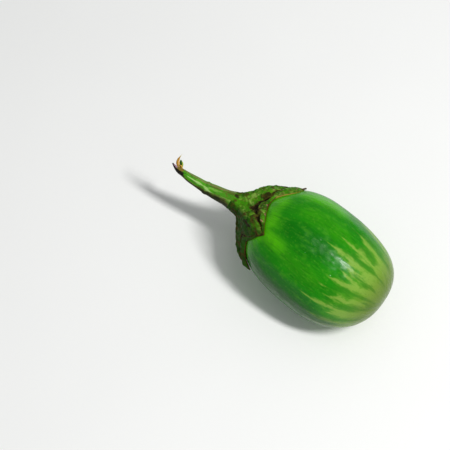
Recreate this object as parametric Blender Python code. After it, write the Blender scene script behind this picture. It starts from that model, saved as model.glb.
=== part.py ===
"""Green striped garden egg as picked: fruit, calyx and stem, lying on its side. Metres, +Z up.

The origin is the middle of the flat spot under the fruit. +X points to the blossom end and -X to the
stem. Each piece is shaped in the fruit's own frame, whose Z runs from the blossom end to the stem,
and an empty lays that frame down.
"""

from collections import namedtuple
from math import acos, atan2, cos, exp, pi, radians, sin

import bmesh
import bpy
import numpy as np
from mathutils import Matrix, Vector

MM = 0.001
GAP = 0.3 * MM

# The fruit: half its length, half its width, and how square its outline is towards each end.
HALF_LENGTH = 33.0 * MM
HALF_WIDTH = 24.2 * MM
STEM_END_POWER = 2.5
BLOSSOM_END_POWER = 2.4
# It grew a little bent: its middle line sways towards 90 degrees, and hooks over at the blossom end.
SWAY = 0.75 * MM
BLOSSOM_HOOK = 0.7 * MM
FRUIT_SIDES = 64
FRUIT_RINGS = 40

# The scar of the dropped flower: a shallow ring round a low corky middle, a little off the axis.
SCAR_RING_RADIUS = 1.25 * MM
SCAR_RING_WIDTH = 0.65 * MM
SCAR_DEPTH = 0.35 * MM
SCAR_SHIFT = 2.5 * MM
SCAR_SPREAD = 7.0 * MM
SCAR_RINGS = 5
SCAR_RINGS_START = 0.72
SCAR_RINGS_CROWDING = 1.15

# How the fruit lies: its stem end raised, its turn about its own axis, and the depth of the flat spot.
STEM_RISE = radians(9.0)
ROLL = radians(68.0)
FLAT_DEPTH = 1.45 * MM
LYING_STEPS = 4000

# The neck, where the calyx ends and the stem starts.
NECK_HEIGHT = 45.2 * MM
NECK_RADIUS = 4.15 * MM

# The calyx lobes: angle round the axis, reach over the skin from the stem pole, half-width at the
# base, how full the blade is (1 is a plain point), length of the point at its end, how high its
# shoulder stands, and its tip's lift.
Lobe = namedtuple("Lobe", "angle reach half_width fullness point shoulder lift")
LOBES = (
    Lobe(radians(-148.0), 23.8 * MM, radians(38.0), 1.15, 2.6 * MM, 0.5, 0.5 * MM),
    Lobe(radians(-82.0), 25.2 * MM, radians(38.0), 1.2, 2.6 * MM, 0.0, 0.4 * MM),
    Lobe(radians(-15.0), 22.8 * MM, radians(45.0), 1.15, 1.8 * MM, 0.35, 0.2 * MM),
    Lobe(radians(84.0), 25.0 * MM, radians(36.0), 4.5, 0.6 * MM, 1.0, 0.1 * MM),
    Lobe(radians(150.0), 25.6 * MM, radians(38.0), 1.2, 2.6 * MM, 0.6, 0.9 * MM),
)
NOTCH_REACH = 14.2 * MM
LOBE_TAPER = 1.5
POINT_HALF_WIDTH = radians(13.0)
# Small waves along the calyx's edge: height, how many go round, and where they start.
EDGE_WAVES = ((0.25 * MM, 7, 0.6), (0.18 * MM, 13, 2.0))
RIDGE_HALF_WIDTH = radians(30.0)
NOTCH_THICKNESS = 1.0 * MM
TIP_THICKNESS = 0.75 * MM
TIP_REACH = 9.0 * MM
CURL_LENGTH = 4.5 * MM
CALYX_SIDE_STEP = radians(3.6)
OUTER_RINGS = 12
UNDER_RINGS = 6
SLOPE_STEP = 0.2 * MM
# The calyx's outer side from the neck to its edge, as (reach over the skin, height off it) in
# millimetres: down a lobe with a high shoulder, down one without, and down a notch. The last height
# is the edge's own.
HIGH_RIDGE = ((3.3, 12.3), (4.6, 10.0), (6.8, 7.8), (10.2, 6.1), (14.4, 4.3), (18.6, 1.9), (26.0, 0.0))
LOW_RIDGE = ((3.3, 12.3), (3.5, 9.4), (4.5, 6.5), (7.4, 4.7), (11.4, 3.5), (16.6, 2.5), (24.4, 0.0))
NOTCH_LINE = ((3.3, 12.3), (3.5, 9.9), (4.3, 7.3), (6.0, 4.9), (8.5, 3.2), (11.4, 2.1), (15.0, 0.0))

# The stem's centre line: height, shift across the axis (towards the lobe at 95 degrees, and towards
# 0 degrees) and radius. Its last points are the pointed lip of torn bark.
StemPoint = namedtuple("StemPoint", "height across front radius")
STEM_POINTS = (
    StemPoint(NECK_HEIGHT + GAP, 0.0, 0.0, NECK_RADIUS),
    StemPoint(47.7 * MM, -0.5 * MM, 0.1 * MM, 3.45 * MM),
    StemPoint(50.7 * MM, -1.0 * MM, 0.3 * MM, 3.10 * MM),
    StemPoint(54.2 * MM, -1.5 * MM, 0.6 * MM, 2.80 * MM),
    StemPoint(57.7 * MM, -2.0 * MM, 0.9 * MM, 2.40 * MM),
    StemPoint(61.7 * MM, -2.2 * MM, 1.4 * MM, 2.15 * MM),
    StemPoint(65.7 * MM, -2.4 * MM, 1.9 * MM, 1.85 * MM),
    StemPoint(68.7 * MM, -2.3 * MM, 2.2 * MM, 1.50 * MM),
    StemPoint(71.2 * MM, -2.3 * MM, 2.4 * MM, 1.30 * MM),
    StemPoint(72.9 * MM, -2.2 * MM, 2.5 * MM, 0.80 * MM),
    StemPoint(74.8 * MM, -1.6 * MM, 2.5 * MM, 0.32 * MM),
)
STEM_SIDES = 20
STEM_RINGS = 34
STEM_RIBS = 5
RIB_HEIGHT = 0.06
KNUCKLE_HEIGHT = 57.3 * MM
KNUCKLE_LENGTH = 1.1 * MM
KNUCKLE_SWELL = 0.25 * MM

# The slivers standing on the torn end: centre lines of (height, across), half-widths and thickness.
SHARD_LINE = ((71.3, -1.9), (73.0, -0.9), (74.1, 0.6), (74.3, 2.2), (73.9, 3.9))
SHARD_HALF_WIDTHS = (0.75, 0.8, 0.75, 0.5, 0.3)
CHIP_LINE = ((70.3, -1.7), (71.3, -0.6), (72.3, 0.6), (73.1, 1.8))
CHIP_HALF_WIDTHS = (0.7, 0.9, 0.8, 0.3)
SLIVER_HALF_THICKNESS = 0.4 * MM
SLIVER_FRONT = 2.3 * MM
CHIP_FRONT = 1.7 * MM
SLIVER_SIDES = 10
SLIVER_RINGS = 10


def clear_scene():
    """Remove whatever the file opened with."""
    for thing in list(bpy.data.objects):
        bpy.data.objects.remove(thing, do_unlink=True)


def finish_material(name, colour, roughness):
    """A plain finish of one colour."""
    finish = bpy.data.materials.new(name)
    finish.use_nodes = True
    shader = finish.node_tree.nodes["Principled BSDF"]
    shader.inputs["Base Color"].default_value = (*colour, 1.0)
    shader.inputs["Roughness"].default_value = roughness
    shader.inputs["Metallic"].default_value = 0.0
    finish.diffuse_color = (*colour, 1.0)
    return finish


def shape_ball(name, sides, rings, place, cut=None):
    """A ball of rings and sides, with each corner moved to place(ring, side).

    Ring 0 is the pole towards the stem's tip and the last ring is the other pole.
    """
    shape = bmesh.new()
    bmesh.ops.create_uvsphere(shape, u_segments=sides, v_segments=rings, radius=1.0)
    for corner in shape.verts:
        ring = round(acos(max(-1.0, min(1.0, corner.co.z))) * rings / pi)
        side = round(atan2(corner.co.y, corner.co.x) * sides / (2 * pi)) % sides
        corner.co = place(ring, side)
    if cut:
        cut(shape)
    bmesh.ops.triangulate(shape, faces=[face for face in shape.faces if len(face.verts) == 4])
    mesh = bpy.data.meshes.new(name)
    shape.to_mesh(mesh)
    shape.free()
    mesh.shade_smooth()
    mesh.set_sharp_from_angle(angle=radians(50.0))
    piece = bpy.data.objects.new(name, mesh)
    bpy.context.scene.collection.objects.link(piece)
    return piece


def fruit_outline(turn):
    """Height and radius of the fruit's outline, from its stem pole (0) to its blossom pole (pi)."""
    power = STEM_END_POWER if turn < pi / 2 else BLOSSOM_END_POWER
    height = HALF_LENGTH * abs(cos(turn)) ** (2 / power)
    radius = HALF_WIDTH * max(0.0, sin(turn)) ** (2 / power)
    return (height if turn < pi / 2 else -height), radius


def sway(height):
    """How far the fruit's middle line lies off its straight axis at a height, towards 90 degrees."""
    share = min(1.0, max(-1.0, height / HALF_LENGTH))
    return SWAY * sin(pi * share) + BLOSSOM_HOOK * max(0.0, -share) ** 3


def blossom_end_point(radius, angle):
    """A corner of the blossom half, moved over towards the scar, with the scar's dip."""
    shift = SCAR_SHIFT * exp(-((radius / SCAR_SPREAD) ** 2))
    x = radius * cos(angle) - shift
    y = radius * sin(angle)
    from_axis = min(1.0, (x * x + y * y) ** 0.5 / HALF_WIDTH)
    height = -HALF_LENGTH * (1 - from_axis**BLOSSOM_END_POWER) ** (1 / BLOSSOM_END_POWER)
    dip = SCAR_DEPTH * exp(-(((radius - SCAR_RING_RADIUS) / SCAR_RING_WIDTH) ** 2))
    return Vector((x, y + sway(height), height + dip))


def lie_down():
    """The place of the fruit's frame, over the middle of its flat spot, and the frame's turn."""
    tilt = Matrix.Rotation(STEM_RISE - pi / 2, 4, "Y")
    turn = tilt @ Matrix.Rotation(ROLL - pi / 2, 4, "Z")
    down = turn.to_3x3().transposed() @ Vector((0.0, 0.0, -1.0))
    under = atan2(down.y, down.x)
    lowest = []
    for step in range(1, LYING_STEPS):
        height, radius = fruit_outline(pi * step / LYING_STEPS)
        point = Vector((radius * cos(under), radius * sin(under) + sway(height), height))
        lowest.append(turn @ point)
    centre_height = -min(point.z for point in lowest) - FLAT_DEPTH
    along = [point.x for point in lowest if point.z < -centre_height]
    place = Vector((-(min(along) + max(along)) / 2, 0.0, centre_height))
    print(f"flat spot {1000 * (max(along) - min(along)):.1f} mm long")
    return place, turn


def build_fruit(turn, floor_depth):
    """The body: a ball drawn out to an egg with a blunt end, cut flat where it lies."""
    turns = [pi * ring / FRUIT_RINGS for ring in range(FRUIT_RINGS)]
    scar_turn = SCAR_RINGS_START * pi / FRUIT_RINGS
    crowd = [(1 - step / SCAR_RINGS) ** SCAR_RINGS_CROWDING for step in range(SCAR_RINGS + 1)]
    turns += [pi - scar_turn * share for share in crowd]

    def place(ring, side):
        height, radius = fruit_outline(turns[ring])
        angle = 2 * pi * side / FRUIT_SIDES
        if height < 0.0:
            return blossom_end_point(radius, angle)
        return Vector((radius * cos(angle), radius * sin(angle) + sway(height), height))

    down = turn.to_3x3().transposed() @ Vector((0.0, 0.0, -1.0))

    def cut_flat(shape):
        everything = shape.verts[:] + shape.edges[:] + shape.faces[:]
        result = bmesh.ops.bisect_plane(
            shape, geom=everything, dist=1e-6, plane_co=down * floor_depth, plane_no=down, clear_outer=True
        )
        rim = [part for part in result["geom_cut"] if isinstance(part, bmesh.types.BMEdge)]
        bmesh.ops.contextual_create(shape, geom=rim)

    return shape_ball("fruit", FRUIT_SIDES, len(turns) - 1, place, cut_flat)


def skin_table():
    """Reach over the skin from the stem pole, with the height and radius there."""
    turns = np.linspace(0.0, 0.75 * pi, 1500)
    outline = np.array([fruit_outline(turn) for turn in turns])
    steps = np.hypot(*np.diff(outline, axis=0).T)
    return np.concatenate([[0.0], np.cumsum(steps)]), outline[:, 0], outline[:, 1]


SKIN_REACH, SKIN_HEIGHT, SKIN_RADIUS = skin_table()


def on_skin(reach):
    """Height and radius on the skin at a reach from the stem pole."""
    height = float(np.interp(reach, SKIN_REACH, SKIN_HEIGHT))
    radius = float(np.interp(reach, SKIN_REACH, SKIN_RADIUS))
    return np.array((height, radius))


def off_way(reach):
    """Unit step straight off the skin at a reach from the stem pole."""
    step = SLOPE_STEP
    along = on_skin(reach + step) - on_skin(max(0.0, reach - step))
    along /= np.hypot(*along)
    return np.array((along[1], -along[0]))


def angle_between(first, second):
    """The smaller turn between two angles."""
    return abs((first - second + pi) % (2 * pi) - pi)


def soft_largest(values, power=4):
    """A smooth stand-in for the largest of some values."""
    return sum(value**power for value in values) ** (1 / power)


def lobe_blade(lobe, angle):
    """How far past the notches this lobe reaches at this angle, from 0 to 1 at its tip."""
    share = min(1.0, angle_between(angle, lobe.angle) / lobe.half_width)
    return (1 - share**lobe.fullness) ** LOBE_TAPER


def rim_reach(angle):
    """Reach of the calyx's edge over the skin at an angle round the axis."""
    blades = [(lobe.reach - lobe.point - NOTCH_REACH) * lobe_blade(lobe, angle) for lobe in LOBES]
    nearest = min(LOBES, key=lambda lobe: angle_between(angle, lobe.angle))
    from_tip = angle_between(angle, nearest.angle) / POINT_HALF_WIDTH
    point = nearest.point * max(0.0, 1 - from_tip) ** LOBE_TAPER
    waves = sum(height * sin(count * angle + start) for height, count, start in EDGE_WAVES)
    return NOTCH_REACH + soft_largest(blades) + point + waves


def ridge_strength(angle):
    """How much the shape at an angle is a lobe's ridge, with the shoulder and tip lift there."""
    weights = [exp(-((angle_between(angle, lobe.angle) / RIDGE_HALF_WIDTH) ** 2)) for lobe in LOBES]
    total = sum(weights)
    shoulder = sum(weight * lobe.shoulder for weight, lobe in zip(weights, LOBES)) / total
    lift = sum(weight * lobe.lift for weight, lobe in zip(weights, LOBES)) / total
    return min(1.0, soft_largest(weights)), shoulder, lift


def smooth_point(rows, share):
    """A point at a share of a smooth line drawn through rows of values."""
    slot = share * (len(rows) - 1)
    first = min(int(slot), len(rows) - 2)
    blend = slot - first
    start, end = rows[first], rows[first + 1]
    start_slope = (end - rows[max(0, first - 1)]) / 2
    end_slope = (rows[min(len(rows) - 1, first + 2)] - start) / 2
    square, cube = blend**2, blend**3
    return (
        (2 * cube - 3 * square + 1) * start
        + (cube - 2 * square + blend) * start_slope
        + (3 * square - 2 * cube) * end
        + (cube - square) * end_slope
    )


def outer_line(ridge, shoulder, reach, edge_height):
    """Points (reach over the skin, height off it) from the neck to the calyx's edge."""
    high, low, notch = (np.array(line) * MM for line in (HIGH_RIDGE, LOW_RIDGE, NOTCH_LINE))
    line = ridge * (shoulder * high + (1 - shoulder) * low) + (1 - ridge) * notch
    neck_reach = line[0, 0]
    line[:, 0] = neck_reach + (line[:, 0] - neck_reach) * (reach - neck_reach) / (line[-1, 0] - neck_reach)
    line[-1, 1] = edge_height
    return line


def off_skin(reach, distance):
    """Height and radius of a point off the skin."""
    return on_skin(reach) + off_way(reach) * distance


def calyx_section(angle):
    """Half of the calyx cut at an angle: (height, radius) from the neck's middle round to below it."""
    ridge, shoulder, lift = ridge_strength(angle)
    reach = rim_reach(angle)
    tip_share = min(1.0, max(0.0, (reach - NOTCH_REACH) / TIP_REACH))
    thickness = NOTCH_THICKNESS + (TIP_THICKNESS - NOTCH_THICKNESS) * tip_share
    edge_lift = GAP + lift * tip_share
    line = outer_line(ridge, shoulder, reach, edge_lift + thickness)
    outer = [off_skin(*smooth_point(line, ring / OUTER_RINGS)) for ring in range(OUTER_RINGS + 1)]
    outer[0] = np.array((NECK_HEIGHT, NECK_RADIUS))
    section = [np.array((NECK_HEIGHT, 0.0))] + outer
    for ring in range(UNDER_RINGS + 1):
        under = reach * (1 - ring / UNDER_RINGS)
        curl = max(0.0, 1 - (reach - under) / CURL_LENGTH) ** 2
        height, radius = off_skin(under, GAP + (edge_lift - GAP) * curl)
        section.append(np.array((height, radius if ring < UNDER_RINGS else 0.0)))
    return section


def calyx_angles():
    """Angles of the calyx's corners, with one on the middle of each lobe and more near the tips."""
    angles = []
    for lobe, following in zip(LOBES, LOBES[1:] + LOBES[:1]):
        gap = (following.angle - lobe.angle) % (2 * pi)
        count = round(gap / CALYX_SIDE_STEP)
        angles += [lobe.angle + gap * (1 - cos(pi * step / count)) / 2 for step in range(count)]
    return angles


def build_calyx():
    """The cup: a sagging funnel between the lobes, a keeled ridge down each lobe."""
    angles = calyx_angles()
    sections = [calyx_section(angle) for angle in angles]

    def place(ring, side):
        height, radius = sections[side][ring]
        return Vector((radius * cos(angles[side]), radius * sin(angles[side]) + sway(height), height))

    return shape_ball("calyx", len(angles), len(sections[0]) - 1, place)


def stem_line(share):
    """Centre and radius of the stem at a share of its length."""
    return StemPoint(*smooth_point(np.array(STEM_POINTS), share).tolist())


def build_stem():
    """The stalk: a ribbed tube that thins to its torn end, with a knuckle part of the way up."""

    def place(ring, side):
        last = STEM_RINGS - 1
        share = 1 - min(1.0, max(0.0, (ring - 1) / (last - 1)))
        height, across, front, radius = stem_line(share)
        step = 0.01
        ahead = stem_line(min(1.0, share + step))
        behind = stem_line(max(0.0, share - step))
        way = Vector((ahead[2] - behind[2], ahead[1] - behind[1], ahead[0] - behind[0])).normalized()
        way = Vector((0.0, 0.0, 1.0)).lerp(way, min(1.0, 6 * share)).normalized()
        centre = Vector((front, across, height))
        if ring == 0:
            return centre + way * 0.2 * MM
        if ring == STEM_RINGS:
            return centre
        angle = 2 * pi * side / STEM_SIDES
        radius *= 1 + RIB_HEIGHT * cos(STEM_RIBS * angle) * min(1.0, 4 * share)
        radius += KNUCKLE_SWELL * exp(-(((height - KNUCKLE_HEIGHT) / KNUCKLE_LENGTH) ** 2))
        first = Vector((0.0, 1.0, 0.0)).cross(way).normalized()
        second = way.cross(first)
        return centre + radius * (cos(angle) * first + sin(angle) * second)

    stem = shape_ball("stem", STEM_SIDES, STEM_RINGS, place)
    shard = build_sliver("shard", SHARD_LINE, SHARD_HALF_WIDTHS, SLIVER_FRONT)
    chip = build_sliver("chip", CHIP_LINE, CHIP_HALF_WIDTHS, CHIP_FRONT)
    for sliver in (shard, chip):
        join_to(stem, sliver)
    return stem


def build_sliver(name, line, half_widths, front):
    """A thin tapered strip along a line across the stem's end."""
    points = [Vector((front, across * MM, height * MM)) for height, across in line]

    def place(ring, side):
        share = 1 - min(1.0, max(0.0, (ring - 0.5) / (SLIVER_RINGS - 1)))
        slot = share * (len(points) - 1)
        first = min(int(slot), len(points) - 2)
        blend = slot - first
        centre = points[first].lerp(points[first + 1], blend)
        half_width = (half_widths[first] * (1 - blend) + half_widths[first + 1] * blend) * MM
        way = (points[first + 1] - points[first]).normalized()
        if ring in (0, SLIVER_RINGS):
            return centre
        angle = 2 * pi * side / SLIVER_SIDES
        over = Vector((1.0, 0.0, 0.0))
        beside = way.cross(over)
        return centre + over * cos(angle) * SLIVER_HALF_THICKNESS + beside * sin(angle) * half_width

    return shape_ball(name, SLIVER_SIDES, SLIVER_RINGS, place)


def join_to(piece, other):
    """Grow another shape onto a piece, so that both are one solid."""
    union = piece.modifiers.new("grown on", "BOOLEAN")
    union.operation = "UNION"
    union.solver = "EXACT"
    union.object = other
    depsgraph = bpy.context.evaluated_depsgraph_get()
    joined = bpy.data.meshes.new_from_object(piece.evaluated_get(depsgraph))
    piece.modifiers.remove(union)
    piece.data = joined
    bpy.data.objects.remove(other, do_unlink=True)


def main():
    clear_scene()
    place, turn = lie_down()
    frame = bpy.data.objects.new("lying_frame", None)
    bpy.context.scene.collection.objects.link(frame)
    frame.location = place
    frame.rotation_euler = turn.to_euler()
    finishes = {
        "fruit": finish_material("waxy green skin", (0.08, 0.30, 0.012), 0.30),
        "calyx": finish_material("rough green calyx", (0.11, 0.20, 0.03), 0.70),
        "stem": finish_material("ribbed green stalk", (0.14, 0.28, 0.035), 0.55),
    }
    for piece in (build_fruit(turn, place.z), build_calyx(), build_stem()):
        piece.parent = frame
        piece.data.materials.clear()
        piece.data.materials.append(finishes[piece.name])
        print(piece.name, len(piece.data.polygons), "faces")


main()
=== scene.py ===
# %% [markdown]
# Garden egg, as picked
#
# A garden egg is a small African eggplant. This one is a green egg with pale flames at its blossom end,
# a thick lobed calyx and a ribbed stalk with a torn end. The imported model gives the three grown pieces
# at their real size. Each is rebuilt here as a fine skin over the same shape, so that the light runs
# over it as over the real one. Finer bits, such as torn fibres, are added as pieces of their own.

from collections import namedtuple
from math import atan2, cos, exp, pi, radians, sin

import bpy
import numpy as np
from mathutils import Matrix, Vector, noise


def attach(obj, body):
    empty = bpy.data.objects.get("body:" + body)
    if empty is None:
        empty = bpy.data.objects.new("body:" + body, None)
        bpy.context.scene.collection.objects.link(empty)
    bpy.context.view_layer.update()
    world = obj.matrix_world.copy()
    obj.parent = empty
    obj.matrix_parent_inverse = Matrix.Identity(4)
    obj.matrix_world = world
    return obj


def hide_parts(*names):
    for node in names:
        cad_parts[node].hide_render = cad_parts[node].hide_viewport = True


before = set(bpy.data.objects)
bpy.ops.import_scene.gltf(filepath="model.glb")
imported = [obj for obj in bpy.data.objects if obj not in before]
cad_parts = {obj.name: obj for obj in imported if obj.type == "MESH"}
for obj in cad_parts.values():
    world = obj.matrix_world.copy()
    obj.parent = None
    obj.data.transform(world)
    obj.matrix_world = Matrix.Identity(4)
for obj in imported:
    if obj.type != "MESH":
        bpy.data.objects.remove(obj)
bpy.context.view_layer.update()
MM = 0.001
print("packed nodes:", sorted(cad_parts))

# %% [markdown]
# Where the fruit lies
#
# The fruit was measured in a frame of its own: Z runs from the blossom end to the stem, X comes out of
# the side that is seen best, and Y points to its upper edge. The real fruit lies on its side with the
# stem end a little raised. Two turns and one shift lay that frame down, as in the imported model, so every
# size below can be given along or around the fruit, as a gardener would measure it with a tape.

# %% The egg's own measures
HALF_LENGTH = 33.0 * MM
HALF_WIDTH = 24.2 * MM
STEM_END_POWER = 2.5
BLOSSOM_END_POWER = 2.4
SWAY = 0.75 * MM
BLOSSOM_HOOK = 0.7 * MM
SCAR_RING_RADIUS = 1.25 * MM
SCAR_RING_WIDTH = 0.65 * MM
SCAR_DEPTH = 0.35 * MM
SCAR_SHIFT = 2.5 * MM
SCAR_SPREAD = 7.0 * MM
STEM_RISE = radians(9.0)
ROLL = radians(68.0)
FLAT_DEPTH = 1.45 * MM
LYING_STEPS = 4000


def fruit_outline(turn):
    """Heights and radii of the egg's outline, from its stem pole (0) to its blossom pole (pi)."""
    power = np.where(turn < pi / 2, STEM_END_POWER, BLOSSOM_END_POWER)
    height = HALF_LENGTH * np.sign(np.cos(turn)) * np.abs(np.cos(turn)) ** (2 / power)
    radius = HALF_WIDTH * np.maximum(0.0, np.sin(turn)) ** (2 / power)
    return height, radius


def sway(height):
    """How far the egg's middle line lies off its straight axis, towards its upper edge."""
    share = np.clip(height / HALF_LENGTH, -1.0, 1.0)
    return SWAY * np.sin(pi * share) + BLOSSOM_HOOK * np.maximum(0.0, -share) ** 3


def lie_down():
    """The matrix that lays the fruit's frame on the surface, over the middle of its flat spot."""
    turn = Matrix.Rotation(STEM_RISE - pi / 2, 4, "Y") @ Matrix.Rotation(ROLL - pi / 2, 4, "Z")
    down = turn.to_3x3().transposed() @ Vector((0.0, 0.0, -1.0))
    under = atan2(down.y, down.x)
    height, radius = fruit_outline(np.linspace(0.0, pi, LYING_STEPS))
    line = np.stack([radius * cos(under), radius * sin(under) + sway(height), height], axis=1)
    lowest = line @ np.array(turn.to_3x3()).T
    floor = lowest[:, 2].min() + FLAT_DEPTH
    along = lowest[lowest[:, 2] < floor, 0]
    place = Vector((-(along.min() + along.max()) / 2, 0.0, -floor))
    return Matrix.Translation(place) @ turn


lying = lie_down()
lying_turn = np.array(lying.to_3x3())
lying_place = np.array(lying.translation)
print("middle of the egg in mm:", [round(value / MM, 2) for value in lying_place])


def to_world(points):
    """Points of the fruit's frame as points of the scene."""
    return points @ lying_turn.T + lying_place


# %% [markdown]
# The camera
#
# The photograph shows the fruit from the side, and tilted. Here it lies down, so the camera looks down
# on it instead. Its direction is the one from which the egg's long axis slopes across the picture at the
# same angle, and its place puts the egg's middle on the same pixel at the same size. A long lens keeps
# the egg's outline close to its true one, as in the photograph.

# %% Camera
IMAGE_SIZE = 450
EGG_MIDDLE_PIXEL = (318.67, 259.42)
METRES_PER_PIXEL = 0.4286 * MM
LENS = 100.0
SENSOR = 36.0
CAMERA_AZIMUTH = radians(33.9)
CAMERA_ELEVATION = radians(65.0)


def camera_axes(azimuth, elevation):
    """Right, up and back of a camera that looks down at the fruit from an azimuth and elevation."""
    right = Vector((cos(azimuth), sin(azimuth), 0.0))
    up = Vector((-sin(azimuth) * sin(elevation), cos(azimuth) * sin(elevation), cos(elevation)))
    return right, up, right.cross(up)


right, up, back = camera_axes(CAMERA_AZIMUTH, CAMERA_ELEVATION)
distance = IMAGE_SIZE * METRES_PER_PIXEL * LENS / SENSOR
across = (EGG_MIDDLE_PIXEL[0] - IMAGE_SIZE / 2) * METRES_PER_PIXEL
below = (EGG_MIDDLE_PIXEL[1] - IMAGE_SIZE / 2) * METRES_PER_PIXEL
camera_place = lying.translation + back * distance - right * across + up * below
camera_data = bpy.data.cameras.new("camera")
camera_data.lens = LENS
camera_data.sensor_width = SENSOR
camera = bpy.data.objects.new("camera", camera_data)
camera.matrix_world = Matrix.Translation(camera_place) @ Matrix((right, up, back)).transposed().to_4x4()
bpy.context.scene.collection.objects.link(camera)
bpy.context.scene.camera = camera
bpy.context.scene.view_settings.view_transform = "Standard"
print("camera distance in mm:", round(distance / MM))

# %% [markdown]
# Helpers
#
# A finish needs colours and nodes, and a skin needs a mesh. Colours are written as sRGB hex, as a colour
# picker shows them, and one function turns them into the linear numbers that light adds up in. A grown
# skin is a stack of rings round a line, so one function covers a stack of rings with faces.

# %% Colours and nodes
def colour(code):
    """An sRGB hex colour as linear numbers."""
    shares = [int(code[place : place + 2], 16) / 255 for place in (1, 3, 5)]
    linear = [share / 12.92 if share <= 0.04045 else ((share + 0.055) / 1.055) ** 2.4 for share in shares]
    return (*linear, 1.0)


def add(tree, kind, links=None, values=None, **settings):
    """Add a node: its settings, the values of its sockets, and the sockets that feed it."""
    node = tree.nodes.new(kind)
    for name, setting in settings.items():
        setattr(node, name, setting)
    for socket, value in (values or {}).items():
        node.inputs[socket].default_value = value
    for socket, source in (links or {}).items():
        tree.links.new(source, node.inputs[socket])
    return node


print("middle grey, as light adds it up:", round(colour("#808080")[0], 3))

# %% [markdown]
# How the finishes are built
#
# The colour of a grown skin lies in layers: a ground colour, blotches, streaks, then scars and dirt. Each
# finish below is written the same way, as a table of layers over a ground colour. A layer shows where its
# field passes from start to end. A field is painted on the mesh (a flame, a crease), or is noise with
# lumps of a given width in millimetres, or is one field frayed by another, which tears its edges.

# %% Layered finishes
Grain = namedtuple("Grain", "name width stretch detail")
Fray = namedtuple("Fray", "name field grain amount")
Layer = namedtuple("Layer", "field start end share code")
Bump = namedtuple("Bump", "field depth_mm")
SPAN_SOCKETS = ("From Min", "From Max", "To Min", "To Max")
NOISE_SPAN = (0.35, 0.65)


def grown_fields(tree, painted, grains, frays):
    """The fields of a finish by name: painted on the mesh, made of noise, or frayed by noise."""
    fields = {}
    for name in painted:
        fields[name] = add(tree, "ShaderNodeAttribute", attribute_name=name).outputs["Fac"]
    place = add(tree, "ShaderNodeAttribute", attribute_name="grain_mm").outputs["Vector"]
    for grain in grains:
        scale = (1 / grain.width, 1 / grain.width, 1 / (grain.width * grain.stretch))
        drawn = add(tree, "ShaderNodeVectorMath", {0: place}, {1: scale}, operation="MULTIPLY")
        links = {"Vector": drawn.outputs[0]}
        values = {"Scale": 1.0, "Detail": grain.detail}
        fields[grain.name] = add(tree, "ShaderNodeTexNoise", links, values).outputs["Fac"]
    for fray in frays:
        centred = add(tree, "ShaderNodeMath", {0: fields[fray.grain]}, {1: 0.5}, operation="SUBTRACT")
        links = {0: centred.outputs[0], 2: fields[fray.field]}
        values = {1: fray.amount}
        fields[fray.name] = add(tree, "ShaderNodeMath", links, values, operation="MULTIPLY_ADD").outputs[0]
    return fields


def grown_finish(name, ior, specular, rough, ground, painted, grains, frays, layers, bumps):
    """A material built up in layers; rough is a field and the two roughnesses it runs between."""
    finish = bpy.data.materials.new(name)
    finish.use_nodes = True
    tree = finish.node_tree
    shader = tree.nodes["Principled BSDF"]
    for socket, value in (("IOR", ior), ("Metallic", 0.0), ("Specular IOR Level", specular)):
        shader.inputs[socket].default_value = value
    fields = grown_fields(tree, painted, grains, frays)
    skin = add(tree, "ShaderNodeRGB").outputs[0]
    skin.default_value = colour(ground)
    for layer in layers:
        links = {"Value": fields[layer.field]}
        values = dict(zip(SPAN_SOCKETS, (layer.start, layer.end, 0.0, layer.share)))
        cover = add(tree, "ShaderNodeMapRange", links, values, interpolation_type="SMOOTHSTEP")
        links = {0: cover.outputs[0], 6: skin}
        values = {7: colour(layer.code)}
        skin = add(tree, "ShaderNodeMix", links, values, data_type="RGBA").outputs[2]
    tree.links.new(skin, shader.inputs["Base Color"])
    links = {"Value": fields[rough[0]]}
    values = dict(zip(SPAN_SOCKETS, (*NOISE_SPAN, *rough[1:])))
    gloss = add(tree, "ShaderNodeMapRange", links, values, interpolation_type="SMOOTHSTEP")
    tree.links.new(gloss.outputs[0], shader.inputs["Roughness"])
    links = {}
    for bump in bumps:
        values = {"Strength": 1.0, "Distance": bump.depth_mm * MM}
        normal = add(tree, "ShaderNodeBump", {"Height": fields[bump.field], **links}, values).outputs[0]
        links = {"Normal": normal}
    tree.links.new(normal, shader.inputs["Normal"])
    print(name + ":", len(tree.nodes), "nodes")
    return finish


# %% Skins from rings
def skin_over(name, rings):
    """A closed mesh over rings of points, each end closed with a fan to its middle."""
    count, sides = rings.shape[:2]
    ends = [rings[0].mean(axis=0), rings[-1].mean(axis=0)]
    points = np.concatenate([rings.reshape(-1, 3), ends])
    side = np.arange(sides)
    following = (side + 1) % sides
    faces = []
    for ring in range(count - 1):
        low, high = ring * sides, (ring + 1) * sides
        faces += np.stack([low + side, high + side, high + following, low + following], axis=1).tolist()
    first, last = count * sides, count * sides + 1
    start = (count - 1) * sides
    faces += [[first, int(one), int(two)] for one, two in zip(side, following)]
    faces += [[last, start + int(two), start + int(one)] for one, two in zip(side, following)]
    mesh = bpy.data.meshes.new(name)
    mesh.from_pydata(points.tolist(), [], faces)
    mesh.update()
    mesh.shade_smooth()
    piece = bpy.data.objects.new(name, mesh)
    bpy.context.scene.collection.objects.link(piece)
    return piece


def paint(piece, name, values):
    """Keep a number, or a vector, for each point of a ringed skin, for its finish to read."""
    ends = [values[0].mean(axis=0, keepdims=True), values[-1].mean(axis=0, keepdims=True)]
    vector = values.ndim == 3
    rows = np.concatenate([values.reshape(-1, 3) if vector else values.reshape(-1), *ends])
    kind, field = ("FLOAT_VECTOR", "vector") if vector else ("FLOAT", "value")
    layer = piece.data.attributes.new(name, kind, "POINT")
    layer.data.foreach_set(field, rows.astype(np.float32).ravel())


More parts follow.
